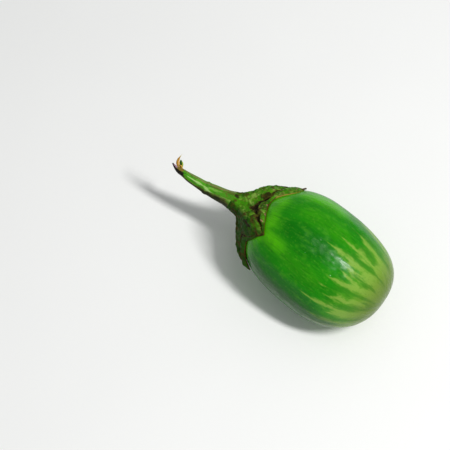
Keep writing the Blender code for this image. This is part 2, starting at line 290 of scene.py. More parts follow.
def ring_normals(rings):
    """Unit vectors straight out of a ringed skin."""
    around = np.roll(rings, -1, axis=1) - np.roll(rings, 1, axis=1)
    along = np.gradient(rings, axis=0)
    out = np.cross(along, around)
    return out / np.maximum(1e-12, np.linalg.norm(out, axis=2, keepdims=True))


def fractal(points, scale, octaves=4, seed=0.0):
    """Smooth noise, about -1 to 1, whose lumps are as wide as scale."""
    shift = Vector((17.3 * seed, 5.1 * seed, 9.7 * seed))
    flat = points.reshape(-1, 3) / scale
    values = [noise.fractal(Vector(point) + shift, 1.0, 2.0, octaves) for point in flat]
    return np.array(values).reshape(points.shape[:-1])


def smooth_step(values, start, end):
    """0 before start, 1 after end, and a smooth rise between them."""
    share = np.clip((values - start) / (end - start), 0.0, 1.0)
    return share * share * (3 - 2 * share)


# %% [markdown]
# The egg
#
# The body of the fruit is one taut skin over firm flesh. It could be a stretched sphere, but the real one
# is blunter than that, a little bent, and its last 15 mm turn over towards the scar of the flower. So its
# rings follow a squarer curve than a circle, spaced evenly by tape measure. The skin of a real fruit is
# never quite even, so shallow waves of a tenth of a millimetre make the highlights waver. Where the egg
# lies, its underside is pressed flat with a soft edge.

# %% Measures of the egg's skin
EGG_SIDES = 280
EGG_RINGS = 200
SCAR_RINGS = 14
SCAR_RINGS_REACH = 3.0 * MM
WAVE_HEIGHT = 0.09 * MM
WAVE_WIDTH = 14.0 * MM
LUMP_HEIGHT = 0.03 * MM
LUMP_WIDTH = 3.2 * MM
FURROW_HEIGHT = 0.05 * MM
FURROWS = 19
Dent = namedtuple("Dent", "angle height radius depth")
DENTS = (
    Dent(radians(-5.0), -8.0 * MM, 0.8 * MM, 0.13 * MM),
    Dent(radians(17.0), 3.4 * MM, 0.8 * MM, 0.10 * MM),
    Dent(radians(-9.0), -9.2 * MM, 0.6 * MM, 0.06 * MM),
    Dent(radians(-1.0), -10.6 * MM, 1.5 * MM, 0.12 * MM),
    Dent(radians(5.0), -8.2 * MM, 1.1 * MM, 0.07 * MM),
    Dent(radians(12.0), 1.0 * MM, 2.0 * MM, 0.06 * MM),
    Dent(radians(118.0), -4.0 * MM, 1.6 * MM, 0.12 * MM),
    Dent(radians(-128.0), 6.0 * MM, 1.2 * MM, 0.10 * MM),
    Dent(radians(164.0), -11.0 * MM, 1.0 * MM, 0.10 * MM),
)
FURROW_DRIFT = 1.3
DRIFT_COUNT = 3
DRIFT_START = 0.7
PRESS_SOFTNESS = 0.2 * MM
OUTLINE_STEPS = 6000
STEM_POLE_OPENING = 0.4 * MM
SCAR_POLE_OPENING = 0.1 * MM
print("egg mesh:", EGG_RINGS + SCAR_RINGS, "rings of", EGG_SIDES, "and", len(DENTS), "dents")


# %% Egg skin
def even_turns():
    """Turns along the egg's outline that are evenly spaced by length, with more at the scar."""
    turns = np.linspace(0.0, pi, OUTLINE_STEPS)
    height, radius = fruit_outline(turns)
    length = np.concatenate([[0.0], np.cumsum(np.hypot(np.diff(height), np.diff(radius)))])
    total = length[-1]
    wide = np.linspace(STEM_POLE_OPENING, total - SCAR_RINGS_REACH, EGG_RINGS)
    fine = np.linspace(total - SCAR_RINGS_REACH, total - SCAR_POLE_OPENING, SCAR_RINGS + 1)[1:]
    lengths = np.concatenate([wide, fine])
    return np.interp(lengths, length, turns), lengths


egg_turns, egg_lengths = even_turns()
egg_angles = np.linspace(0.0, 2 * pi, EGG_SIDES, endpoint=False)


def egg_points(turns, angles):
    """Points of the egg in its own frame, with its sway and the dip of its scar."""
    height, radius = fruit_outline(turns[:, None] + 0 * angles[None, :])
    angle = angles[None, :] + 0 * turns[:, None]
    x = radius * np.cos(angle)
    y = radius * np.sin(angle)
    blossom = height < 0
    shifted = x - SCAR_SHIFT * np.exp(-((radius / SCAR_SPREAD) ** 2))
    from_axis = np.clip(np.hypot(shifted, y) / HALF_WIDTH, 0.0, 1.0)
    dropped = -HALF_LENGTH * (1 - from_axis**BLOSSOM_END_POWER) ** (1 / BLOSSOM_END_POWER)
    dip = SCAR_DEPTH * np.exp(-(((radius - SCAR_RING_RADIUS) / SCAR_RING_WIDTH) ** 2))
    x = np.where(blossom, shifted, x)
    height = np.where(blossom, dropped, height)
    return np.stack([x, y + sway(height), height + np.where(blossom, dip, 0.0)], axis=2)


egg_rings = egg_points(egg_turns, egg_angles)
drift = FURROW_DRIFT * np.sin(DRIFT_COUNT * egg_angles + DRIFT_START)
furrows = np.cos(FURROWS * egg_angles + drift)[None, :]
swell = np.sin(np.pi * egg_lengths / egg_lengths[-1])[:, None]
waves = WAVE_HEIGHT * fractal(egg_rings, WAVE_WIDTH, 2, seed=3.0)
lumps = LUMP_HEIGHT * fractal(egg_rings, LUMP_WIDTH, 2, seed=6.0)
relief = waves + lumps + FURROW_HEIGHT * furrows * swell
for dent in DENTS:
    turn = (egg_angles - dent.angle + pi) % (2 * pi) - pi
    aside = turn[None, :] * np.hypot(egg_rings[..., 0], egg_rings[..., 1])
    apart = np.hypot(aside, egg_rings[..., 2] - dent.height) / dent.radius
    relief = relief - dent.depth * np.exp(-(apart**2))
egg_rings = egg_rings + ring_normals(egg_rings) * (relief * swell)[..., None]
egg_world = to_world(egg_rings)
egg_world[..., 2] = (egg_world[..., 2] + np.hypot(egg_world[..., 2], PRESS_SOFTNESS)) / 2
egg = skin_over("egg_skin", egg_world)
lowest = round(egg_world[..., 2].min() / MM, 3)
print("egg skin:", len(egg.data.polygons), "faces, lowest point", lowest, "mm")

# %% [markdown]
# The flames
#
# The pale flames are where the skin holds less of its dark green. They start about half-way down, widen,
# and run together round the blossom end, always along the fruit. They could be drawn with a wave texture,
# but real flames differ in length and width, so each is a line of stops: degrees round the fruit,
# millimetres along it, and half its width there. Dark tongues between them reach into the pale end. The
# side that shows best is listed stop by stop, and the rest is drawn by a seeded rule in the same style.
# Nicks are pin-head dents; their glints are painted highlights, drawn as very short pale streaks.

# %% Flame lines
PALE_FLAMES = (
    ((19.5, -1.0, 0.2), (19.5, -6.0, 1.0), (18.8, -12.0, 1.5),
     (18.5, -17.0, 1.5), (17.0, -22.0, 2.4), (15.0, -31.0, 2.8)),
    ((11.5, -12.0, 0.3), (11.0, -15.0, 1.1), (12.5, -19.0, 1.5), (14.0, -24.0, 2.2), (14.0, -31.0, 2.4)),
    ((33.0, -3.5, 0.15), (32.5, -8.0, 0.7), (32.0, -11.0, 0.8),
     (33.5, -12.6, 1.9), (32.5, -16.0, 1.5), (30.5, -20.0, 0.9)),
    ((30.5, -19.0, 0.8), (33.0, -22.5, 2.2), (36.0, -25.0, 2.8), (35.0, -31.0, 2.2)),
    ((51.5, -8.5, 0.2), (49.0, -12.0, 1.0), (47.5, -16.0, 1.3),
     (46.0, -20.0, 1.6), (42.0, -23.0, 2.6), (42.0, -31.0, 2.2)),
    ((-7.0, -8.0, 0.2), (-6.0, -11.0, 0.7), (-4.5, -15.0, 1.0),
     (-2.0, -19.0, 1.7), (0.0, -23.0, 1.8), (1.0, -31.0, 2.6)),
    ((5.5, -11.0, 0.2), (4.0, -14.5, 0.7), (2.0, -18.0, 1.2), (0.5, -20.0, 1.2)),
    ((-37.5, -3.0, 0.15), (-37.0, -7.0, 0.5), (-36.0, -11.0, 0.9),
     (-34.5, -14.5, 1.2), (-36.0, -19.0, 1.7), (-36.0, -31.0, 2.0)),
    ((-43.5, -15.0, 0.2), (-43.0, -18.0, 0.9), (-41.0, -22.0, 1.1), (-39.0, -27.0, 1.2)),
    ((-24.5, -12.0, 0.2), (-22.5, -14.2, 0.8), (-20.5, -16.5, 1.4),
     (-20.5, -19.5, 1.0), (-17.5, -22.0, 1.4), (-16.0, -27.0, 1.0)),
    ((-16.0, -14.0, 0.3), (-18.0, -16.0, 0.9), (-20.0, -18.0, 0.6)),
    ((-17.0, -4.5, 0.1), (-17.5, -7.0, 0.25), (-17.0, -9.0, 0.15)),
    ((-56.0, -9.0, 0.3), (-58.0, -14.0, 0.9), (-57.0, -19.0, 1.2), (-59.0, -26.0, 0.8)),
)
DARK_TONGUES = (
    ((9.5, -15.5, 0.7), (9.0, -20.0, 1.5), (8.0, -24.0, 1.5), (7.0, -26.8, 0.6)),
    ((24.0, -9.0, 1.2), (25.0, -18.0, 1.3), (26.0, -24.0, 0.9), (27.0, -28.0, 0.3)),
    ((40.0, -12.0, 1.3), (39.0, -16.0, 1.5), (37.5, -20.0, 1.4), (37.5, -21.5, 0.5)),
    ((-9.5, -15.0, 1.5), (-9.0, -20.0, 1.1), (-8.5, -25.0, 0.8), (-10.0, -29.5, 0.5)),
    ((-28.5, -19.0, 1.7), (-27.5, -24.0, 1.5), (-25.0, -28.0, 1.0), (-20.0, -29.5, 0.7)),
    ((-14.0, -26.5, 0.6), (-18.0, -28.0, 1.3), (-19.0, -29.5, 0.4)),
    ((38.5, -27.0, 0.4), (37.5, -28.3, 0.9), (37.0, -29.5, 0.3)),
    ((-50.0, -18.0, 1.5), (-50.0, -25.0, 1.2), (-49.0, -28.5, 0.6)),
    ((55.0, -10.0, 1.2), (54.0, -20.0, 1.3), (53.0, -26.5, 0.6)),
)
# Painted highlights: pale glints on the nicks.
NICK_GLINTS = (
    ((17.0, 3.7, 0.3), (17.0, 3.2, 0.35)),
    ((-5.0, -7.7, 0.3), (-5.0, -8.2, 0.35)),
    ((-2.5, 6.0, 0.15), (-2.5, 5.8, 0.15)),
    ((121.0, -3.0, 0.3), (121.0, -3.6, 0.3)),
)
SEEN_ANGLES = (-66.0, 60.0)
HIDDEN_SEED = 41
Hidden = namedtuple("Hidden", "count starts ends width")
HIDDEN_PALE = Hidden(15, (-13.0, -1.0), (-31.0, -29.0), 2.2)
HIDDEN_DARK = Hidden(13, (-15.0, -8.0), (-29.5, -24.0), 1.5)
HIDDEN_SHIFT = 0.25
HIDDEN_BEND = 4.0
HIDDEN_TAPER = (0.1, 0.45, 0.8, 1.0)
HIDDEN_WIDTHS = (0.7, 1.3)
FLAME_FADE = 2.0
GLINT_FADE = 0.3
FAR_OUTSIDE = -4.0
print("by eye:", len(PALE_FLAMES), "pale flames,", len(DARK_TONGUES), "dark tongues,", len(NICK_GLINTS), "nicks")


# %% Fields of streaks
def streak_field(angle, radius, along, streaks, fade):
    """How deep each point lies in the nearest streak: 1 on its line, 0 at its edge, less outside."""
    field = np.full(angle.shape, FAR_OUTSIDE)
    for stops in streaks:
        angles, places, widths = np.array(sorted(stops, key=lambda stop: stop[1])).T
        off = np.abs((angle - np.interp(along, places, angles) + 180.0) % 360.0 - 180.0)
        aside = np.radians(off) * radius / np.interp(along, places, widths)
        beyond = np.maximum(0.0, places[0] - along) + np.maximum(0.0, along - places[-1])
        field = np.maximum(field, 1.0 - aside - beyond / fade)
    return field


def hidden_streaks(rule, random):
    """Streaks for the side that is seen less, spread round it by a seeded draw."""
    first, span = SEEN_ANGLES[1], 360.0 - (SEEN_ANGLES[1] - SEEN_ANGLES[0])
    stops = len(HIDDEN_TAPER)
    streaks = []
    for slot in range(rule.count):
        angle = first + span * (slot + 0.5 + HIDDEN_SHIFT * random.uniform(-1, 1)) / rule.count
        start, end = random.uniform(*rule.starts), random.uniform(*rule.ends)
        bends = random.uniform(-HIDDEN_BEND, HIDDEN_BEND, stops)
        widths = rule.width * np.array(HIDDEN_TAPER) * random.uniform(*HIDDEN_WIDTHS)
        places = np.linspace(start, end, stops)
        streaks.append(tuple(zip(angle + bends, places, widths)))
    return tuple(streaks)


# %% Paint the flames on the egg
random = np.random.default_rng(HIDDEN_SEED)
pale_flames = PALE_FLAMES + hidden_streaks(HIDDEN_PALE, random)
dark_tongues = DARK_TONGUES + hidden_streaks(HIDDEN_DARK, random)
egg_off = egg_rings[..., 1] - sway(egg_rings[..., 2])
egg_angle = np.degrees(np.arctan2(egg_off, egg_rings[..., 0]))
egg_radius = np.hypot(egg_rings[..., 0], egg_off) / MM
egg_height = egg_rings[..., 2] / MM
paint(egg, "height_mm", egg_height)
for name, streaks, fade in (
    ("pale_flame", pale_flames, FLAME_FADE),
    ("dark_tongue", dark_tongues, FLAME_FADE),
    ("painted_glint", NICK_GLINTS, GLINT_FADE),
):
    paint(egg, name, streak_field(egg_angle, egg_radius, egg_height, streaks, fade))
print("flames:", len(pale_flames), "pale, and", len(dark_tongues), "dark tongues")

# %% [markdown]
# Broad colour of the egg
#
# Between the calyx and the flames the green isn't even. Where the calyx kept the light off, and in a band
# down one side, the skin is yellow-green. A warm band along the upper edge is painted light, lighter where
# the light falls. The middle of the seen side is the deepest green, and a deep band on the lower side is
# painted shade. The dim bands are painted shade on the lower side and underneath. These broad fields have
# soft edges several millimetres wide. A last field gives the distance from the flower's scar.

# %% Paint the broad fields
WARM_AND_LIT_BANDS = (
    (-14.0, 10.5, 30.0, 13.5),
    (4.0, 14.0, 30.0, 22.0),
    (38.0, 14.0, 30.0, 24.0),
    # This band, on the egg's upper edge, is painted light.
    (66.0, 15.0, 26.0, 0.0),
    (150.0, 16.0, 30.0, 8.0),
    (-110.0, 14.0, 30.0, 12.0),
)
MILD_BANDS = (
    (-19.0, 10.0, 14.0, -6.0),
    (35.0, 12.0, 18.0, -8.0),
    (128.0, 14.0, 14.0, -8.0),
    (-150.0, 18.0, 14.0, -4.0),
)
DEEP_GREEN_AND_SHADE_BANDS = (
    (9.0, 15.0, 22.0, -4.0),
    # This band, on the lower side, is painted shade.
    (-50.0, 15.0, 26.0, -12.0),
    (95.0, 18.0, 20.0, -8.0),
    (-178.0, 20.0, 20.0, -6.0),
)
# Painted shade on the lower side and underneath the egg.
PAINTED_SHADE_BANDS = ((-70.0, 22.0, 26.0, -24.0), (-96.0, 18.0, 24.0, -28.0), (-150.0, 24.0, 22.0, -20.0))
BAND_FADE = 9.0
COLLAR_HEIGHTS = (21.5, 27.5)
COLLAR_WARMTH = 0.6


def band_field(bands):
    """Broad bands down the egg, each with its angle, half-width in degrees, and top and bottom height."""
    field = np.zeros_like(egg_angle)
    for angle, half_width, top, bottom in bands:
        off = ((egg_angle - angle + 180.0) % 360.0 - 180.0) / half_width
        within = smooth_step(egg_height, bottom - BAND_FADE, bottom + BAND_FADE)
        within = within * smooth_step(-egg_height, -top - BAND_FADE, -top + BAND_FADE)
        field = np.maximum(field, np.exp(-(off**2)) * within)
    return field


grain = np.stack(
    [
        np.cos(egg_angles)[None, :] * HALF_WIDTH + 0 * egg_lengths[:, None],
        np.sin(egg_angles)[None, :] * HALF_WIDTH + 0 * egg_lengths[:, None],
        egg_lengths[:, None] + 0 * egg_angles[None, :],
    ],
    axis=2,
)
warm_and_lit = band_field(WARM_AND_LIT_BANDS) + COLLAR_WARMTH * smooth_step(egg_height, *COLLAR_HEIGHTS)
from_scar = np.where(egg_height < 0, fruit_outline(egg_turns)[1][:, None] / MM, HALF_WIDTH / MM)
broad_fields = {
    "grain_mm": grain / MM,
    "warm_and_lit_band": warm_and_lit,
    "mild_band": band_field(MILD_BANDS),
    "deep_green_and_shade_band": band_field(DEEP_GREEN_AND_SHADE_BANDS),
    "painted_shade_band": band_field(PAINTED_SHADE_BANDS),
    "from_scar_mm": from_scar,
}
for name, values in broad_fields.items():
    paint(egg, name, values)
print("warm skin, share of the egg:", round(float((warm_and_lit > 0.5).mean()), 2))

# %% [markdown]
# The egg's finish: waxy eggplant skin
#
# The skin of a fresh fruit is smooth and tight under a thin film of wax. That gives the eye deep, clean
# colour with a small broken highlight and a greyish veil where it is seen at a slant. A leaf wax has an
# index of refraction near 1.45; the film is thin and dull, so the specular level is 0.2, less than half
# the usual. The roughness of a waxed leaf is about 0.2 to 0.3, and here it runs up to 0.33 in clouds nearly
# three millimetres wide. A low swell as wide as the clouds breaks up the edge of the highlight. Along the
# fruit runs a grain half a millimetre wide, coarser than the real lines of 0.3 mm, so that it shows.

# %% Waxy skin
egg_finish = grown_finish(
    "waxy_eggplant_skin",
    ior=1.45,
    specular=0.2,
    rough=("cloud", 0.2, 0.33),
    ground="#1a8402",
    painted=(
        *("height_mm", "pale_flame", "dark_tongue", "painted_glint", "from_scar_mm"),
        *("warm_and_lit_band", "mild_band", "deep_green_and_shade_band", "painted_shade_band"),
    ),
    grains=(
        Grain("mottle", 6.5, 1.8, 3.0),
        Grain("cloud", 2.6, 1.5, 3.0),
        Grain("swell", 2.7, 1.2, 0.6),
        Grain("tears", 1.8, 3.0, 4.0),
        Grain("teeth", 0.9, 4.0, 4.0),
        Grain("pores", 0.9, 1.4, 3.0),
        Grain("fine", 0.45, 14.0, 2.0),
        Grain("threads", 0.35, 16.0, 2.0),
        Grain("specks", 0.42, 1.2, 0.0),
    ),
    frays=(
        Fray("pale_torn", "pale_flame", "tears", 3.4),
        Fray("pale_ragged", "pale_torn", "teeth", 2.2),
        Fray("pale_edge", "pale_ragged", "pores", 1.4),
        Fray("dark_torn", "dark_tongue", "tears", -3.0),
        Fray("dark_ragged", "dark_torn", "teeth", 2.0),
        Fray("dark_edge", "dark_ragged", "pores", 1.4),
        Fray("wash_torn", "height_mm", "tears", 14.0),
        Fray("wash_edge", "wash_torn", "teeth", 10.0),
        Fray("scar_edge", "from_scar_mm", "teeth", 1.6),
    ),
    layers=(
        # Deepest green of the skin, and painted shade on the lower side.
        Layer("deep_green_and_shade_band", 0.1, 0.9, 0.95, "#046800"),
        Layer("mild_band", 0.1, 0.9, 0.5, "#379600"),
        # Yellow-green of the skin, and painted light along the upper edge.
        Layer("warm_and_lit_band", 0.1, 0.95, 0.95, "#4db200"),
        Layer("mottle", 0.45, 0.62, 0.35, "#0c6e00"),
        Layer("cloud", 0.52, 0.7, 0.25, "#52a516"),
        Layer("height_mm", -8.0, -26.0, 0.8, "#4f9020"),
        Layer("fine", 0.54, 0.68, 0.4, "#0a5600"),
        Layer("pores", 0.56, 0.7, 0.25, "#5aa822"),
        Layer("wash_edge", -18.0, -27.0, 0.85, "#6e9630"),
        Layer("pale_edge", -1.8, 0.2, 0.4, "#5a9a20"),
        Layer("pale_edge", -0.5, 0.8, 0.85, "#80a83e"),
        Layer("dark_edge", -0.3, 0.8, 0.8, "#347e14"),
        Layer("height_mm", -19.0, -32.0, 0.8, "#55681c"),
        # Painted highlight: a pale glint on each nick.
        Layer("painted_glint", 0.0, 0.8, 0.75, "#b2dca4"),
        # Painted shade: the lower side and underside darkened in the colour.
        Layer("painted_shade_band", 0.2, 1.0, 0.7, "#083200"),
        Layer("threads", 0.6, 0.75, 0.12, "#8cc04c"),
        Layer("specks", 0.76, 0.82, 0.5, "#24500c"),
        Layer("scar_edge", 2.3, 1.5, 0.95, "#4a3218"),
        Layer("scar_edge", 0.9, 0.3, 0.8, "#93794a"),
    ),
    bumps=(Bump("swell", 0.2), Bump("pores", 0.012), Bump("fine", 0.008)),
)
egg.data.materials.append(egg_finish)
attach(egg, "root")
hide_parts("fruit")

# %% [markdown]
# The calyx and the stalk
#
# The calyx is the green cup that held the flower, and the stalk grows out of it without a seam. Its five
# lobes lie on the egg's shoulders, each with a ridge that runs on into a rib of the stalk. One loft makes
# both: rings go down the stalk, spread over the cup to its edge, and turn back underneath. Each way down
# the cup is a smooth line through a few measured points, blended between the ridges and the notches.

# %% Calyx and stalk measures
GAP = 0.1 * MM
NECK_HEIGHT = 45.2 * MM
NECK_RADIUS = 4.15 * MM
Lobe = namedtuple("Lobe", "angle reach half_width fullness point shoulder lift")
LOBES = (
    Lobe(radians(-148.0), 23.8 * MM, radians(38.0), 1.15, 2.6 * MM, 0.5, 0.5 * MM),
    Lobe(radians(-82.0), 25.2 * MM, radians(38.0), 1.2, 2.6 * MM, 0.0, 0.4 * MM),
    Lobe(radians(-15.0), 22.8 * MM, radians(45.0), 1.15, 1.8 * MM, 0.35, 0.2 * MM),
    Lobe(radians(84.0), 25.0 * MM, radians(35.5), 4.5, 0.6 * MM, 1.0, 0.0 * MM),
    Lobe(radians(150.0), 25.6 * MM, radians(38.0), 1.2, 2.6 * MM, 0.6, 0.9 * MM),
)
NOTCH_REACH = 14.2 * MM
LOBE_TAPER = 1.5
POINT_HALF_WIDTH = radians(13.0)
EDGE_WAVES = ((0.25 * MM, 7, 0.6), (0.18 * MM, 13, 2.0))
RIDGE_HALF_WIDTH = radians(30.0)
NOTCH_THICKNESS = 0.75 * MM
TIP_THICKNESS = 0.4 * MM
TIP_REACH = 9.0 * MM
CURL_LENGTH = 4.5 * MM
HIGH_RIDGE = ((3.3, 12.3), (4.6, 10.0), (6.8, 7.8), (10.2, 6.1), (14.4, 4.3), (18.6, 1.8), (26.0, 0.0))
LOW_RIDGE = ((3.3, 12.3), (3.5, 9.4), (4.5, 6.5), (7.4, 4.7), (11.4, 3.5), (16.6, 2.5), (24.4, 0.0))
NOTCH_LINE = ((3.3, 12.3), (3.5, 9.9), (4.3, 7.3), (6.0, 4.9), (8.5, 3.2), (11.4, 2.1), (15.0, 0.0))
CALYX_SIDE_STEP = radians(1.5)
CUP_RINGS = 84
UNDER_RINGS = 20
StemPoint = namedtuple("StemPoint", "height across front radius")
STEM_POINTS = (
    StemPoint(NECK_HEIGHT, 0.0, 0.0, NECK_RADIUS),
    StemPoint(47.7 * MM, -0.5 * MM, 0.1 * MM, 3.45 * MM),
    StemPoint(50.7 * MM, -1.0 * MM, 0.3 * MM, 3.10 * MM),
    StemPoint(54.2 * MM, -1.5 * MM, 0.6 * MM, 2.80 * MM),
    StemPoint(57.7 * MM, -2.0 * MM, 0.9 * MM, 2.40 * MM),
    StemPoint(61.7 * MM, -2.2 * MM, 1.4 * MM, 2.15 * MM),
    StemPoint(65.7 * MM, -2.4 * MM, 1.9 * MM, 1.85 * MM),
    StemPoint(68.7 * MM, -2.3 * MM, 2.2 * MM, 1.50 * MM),
    StemPoint(71.2 * MM, -2.3 * MM, 2.4 * MM, 1.30 * MM),
    StemPoint(72.9 * MM, -2.2 * MM, 2.5 * MM, 0.80 * MM),
    StemPoint(74.8 * MM, -1.6 * MM, 2.5 * MM, 0.32 * MM),
)
STALK_RINGS = 150
RIB_COUNT = 5
RIB_HEIGHT = 0.1
KNUCKLE_HEIGHT = 57.3 * MM
KNUCKLE_LENGTH = 0.9 * MM
KNUCKLE_SWELL = 0.34 * MM
STALK_SLOPE_SHARE = 0.01
TURN_IN_SHARE = 1 / 6
RIB_IN_SHARE = 1 / 4
print("lobes reach, in mm over the skin:", [round(lobe.reach / MM, 1) for lobe in LOBES])

# %% Distances over the egg's skin
SKIN_TURN_END = 0.75 * pi
SKIN_STEPS = 1500
SKIN_TURNS = np.linspace(0.0, SKIN_TURN_END, SKIN_STEPS)
SKIN_HEIGHT, SKIN_RADIUS = fruit_outline(SKIN_TURNS)
SKIN_REACH = np.concatenate([[0.0], np.cumsum(np.hypot(np.diff(SKIN_HEIGHT), np.diff(SKIN_RADIUS)))])
SLOPE_STEP = 0.2 * MM


def on_skin(reach):
    """Heights and radii on the egg at reaches over its skin from the stem pole."""
    height_and_radius = [np.interp(reach, SKIN_REACH, values) for values in (SKIN_HEIGHT, SKIN_RADIUS)]
    return np.stack(height_and_radius, axis=-1)


def off_skin(reach, distance):
    """Heights and radii of points off the egg's skin."""
    along = on_skin(reach + SLOPE_STEP) - on_skin(np.maximum(0.0, reach - SLOPE_STEP))
    along /= np.linalg.norm(along, axis=-1, keepdims=True)
    out = np.stack([along[..., 1], -along[..., 0]], axis=-1)
    return on_skin(reach) + out * np.asarray(distance)[..., None]


print("skin from pole to", round(SKIN_REACH[-1] / MM), "mm in", SKIN_STEPS, "steps")


# %% Where the calyx's edge and ridges run
def angle_between(first, second):
    """The smaller turn between two angles."""
    return abs((first - second + pi) % (2 * pi) - pi)


def soft_largest(values, power=4):
    """A smooth stand-in for the largest of some values."""
    return sum(value**power for value in values) ** (1 / power)


def lobe_blade(lobe, angle):
    """How far past the notches this lobe reaches at this angle, from 0 to 1 at its tip."""
    share = min(1.0, angle_between(angle, lobe.angle) / lobe.half_width)
    return (1 - share**lobe.fullness) ** LOBE_TAPER


def rim_reach(angle):
    """Reach of the calyx's edge over the skin at an angle round the axis."""
    blades = [(lobe.reach - lobe.point - NOTCH_REACH) * lobe_blade(lobe, angle) for lobe in LOBES]
    nearest = min(LOBES, key=lambda lobe: angle_between(angle, lobe.angle))
    from_tip = angle_between(angle, nearest.angle) / POINT_HALF_WIDTH
    point = nearest.point * max(0.0, 1 - from_tip) ** LOBE_TAPER
    waves = sum(height * sin(count * angle + start) for height, count, start in EDGE_WAVES)
    return NOTCH_REACH + soft_largest(blades) + point + waves


def ridge_strength(angle):
    """How much the shape at an angle is a lobe's ridge, with the shoulder and tip lift there."""
    weights = [exp(-((angle_between(angle, lobe.angle) / RIDGE_HALF_WIDTH) ** 2)) for lobe in LOBES]
    total = sum(weights)
    shoulder = sum(weight * lobe.shoulder for weight, lobe in zip(weights, LOBES)) / total
    lift = sum(weight * lobe.lift for weight, lobe in zip(weights, LOBES)) / total
    return min(1.0, soft_largest(weights)), shoulder, lift


edge_reaches = [rim_reach(radians(degrees)) / MM for degrees in range(360)]
print("calyx edge, in mm from the pole:", round(min(edge_reaches), 1), "to", round(max(edge_reaches), 1))


# %% Lines down the cup
def smooth_point(rows, share):
    """A point at a share of a smooth line drawn through rows of values."""
    slot = share * (len(rows) - 1)
    first = min(int(slot), len(rows) - 2)
    blend = slot - first
    start, end = rows[first], rows[first + 1]
    start_slope = (end - rows[max(0, first - 1)]) / 2
    end_slope = (rows[min(len(rows) - 1, first + 2)] - start) / 2
    square, cube = blend**2, blend**3
    return (
        (2 * cube - 3 * square + 1) * start
        + (cube - 2 * square + blend) * start_slope
        + (3 * square - 2 * cube) * end
        + (cube - square) * end_slope
    )


def heading(rows, share, step):
    """The direction of a smooth line of stops, each a height, a way sideways and a way to the front."""
    ahead = smooth_point(rows, min(1.0, share + step))
    behind = smooth_point(rows, max(0.0, share - step))
    height, sideways, front = (ahead - behind)[:3]
    return Vector((front, sideways, height)).normalized()


def cup_section(angle):
    """Heights and radii down the cup at an angle, out to its edge and back to the pole underneath."""
    ridge, shoulder, lift = ridge_strength(angle)
    reach = rim_reach(angle)
    tip_share = min(1.0, max(0.0, (reach - NOTCH_REACH) / TIP_REACH))
    thickness = NOTCH_THICKNESS + (TIP_THICKNESS - NOTCH_THICKNESS) * tip_share
    edge_lift = GAP + lift * tip_share
    high, low, notch = (np.array(line) * MM for line in (HIGH_RIDGE, LOW_RIDGE, NOTCH_LINE))
    line = ridge * (shoulder * high + (1 - shoulder) * low) + (1 - ridge) * notch
    neck_reach = line[0, 0]
    line[:, 0] = neck_reach + (line[:, 0] - neck_reach) * (reach - neck_reach) / (line[-1, 0] - neck_reach)
    line[-1, 1] = edge_lift + thickness
    outer = np.array([smooth_point(line, ring / CUP_RINGS) for ring in range(CUP_RINGS + 1)])
    outer = off_skin(outer[:, 0], outer[:, 1])
    outer[0] = (NECK_HEIGHT, NECK_RADIUS)
    under = reach * (1 - np.arange(UNDER_RINGS) / UNDER_RINGS)
    curl = np.maximum(0.0, 1 - (reach - under) / CURL_LENGTH) ** 2
    inner = off_skin(under, GAP + (edge_lift - GAP) * curl)
    return np.concatenate([outer, inner])


def cup_angles():
    """Angles of the cup's corners, with one on the middle of each lobe and more near the tips."""
    angles = []
    for lobe, following in zip(LOBES, LOBES[1:] + LOBES[:1]):
        gap = (following.angle - lobe.angle) % (2 * pi)
        count = round(gap / CALYX_SIDE_STEP)
        angles += [lobe.angle + gap * (1 - cos(pi * step / count)) / 2 for step in range(count)]
    return np.array(angles)


# %% Cup rings
angles = cup_angles()
sections = np.array([cup_section(angle) for angle in angles]).transpose(1, 0, 2)
cup_rings = np.stack(
    [
        sections[..., 1] * np.cos(angles)[None, :],
        sections[..., 1] * np.sin(angles)[None, :] + sway(sections[..., 0]),
        sections[..., 0],
    ],
    axis=2,
)
print("cup:", cup_rings.shape[0], "rings of", cup_rings.shape[1])


# %% Stalk rings
def stalk_ring(share):
    """One ring of the stalk, from its torn end (share 1) down to the neck (share 0)."""
    rows = np.array(STEM_POINTS)
    height, sideways, front, radius = smooth_point(rows, share)
    way = heading(rows, share, STALK_SLOPE_SHARE)
    way = Vector((0.0, 0.0, 1.0)).lerp(way, min(1.0, share / TURN_IN_SHARE)).normalized()
    first = Vector((0.0, 1.0, 0.0)).cross(way).normalized()
    second = way.cross(first)
    radii = radius * (1 + RIB_HEIGHT * np.cos(RIB_COUNT * angles) * min(1.0, share / RIB_IN_SHARE))
    radii = radii + KNUCKLE_SWELL * exp(-(((height - KNUCKLE_HEIGHT) / KNUCKLE_LENGTH) ** 2))
    centre = np.array((front, sideways, height))
    spread = np.cos(angles)[:, None] * np.array(first) + np.sin(angles)[:, None] * np.array(second)
    return centre + radii[:, None] * spread


stalk_rings = np.array([stalk_ring(1 - ring / STALK_RINGS) for ring in range(STALK_RINGS + 1)])
print("stalk:", stalk_rings.shape[0], "rings of", stalk_rings.shape[1])

# %% Join the stalk and the cup in one loft
BLEND_PASSES = 10
BLEND_RINGS = 10
loft = np.concatenate([stalk_rings[:-1], cup_rings])
neck_ring = STALK_RINGS
for _ in range(BLEND_PASSES):
    near = slice(neck_ring - BLEND_RINGS, neck_ring + BLEND_RINGS)
    before = loft[neck_ring - BLEND_RINGS - 1 : neck_ring + BLEND_RINGS - 1]
    after = loft[neck_ring - BLEND_RINGS + 1 : neck_ring + BLEND_RINGS + 1]
    loft[near] = (before + 2 * loft[near] + after) / 4
print("loft:", loft.shape[0], "rings, neck at ring", neck_ring)

# %% [markdown]
# Relief on the calyx
#
# A real calyx is corky and cracked. A dark crease runs round it a few millimetres from its edge, where
# the cup was stretched as the fruit swelled, and leaves a raised collar outside it. Small scabs, a net
# of fine cracks and ridges cover the rest. These are real dents and bumps that catch the light, so they
# move the mesh itself, by tenths of a millimetre, straight out of the surface. Each stop of the crease
# gives its angle, its distance from the edge, half its width and its depth, the last three in millimetres.

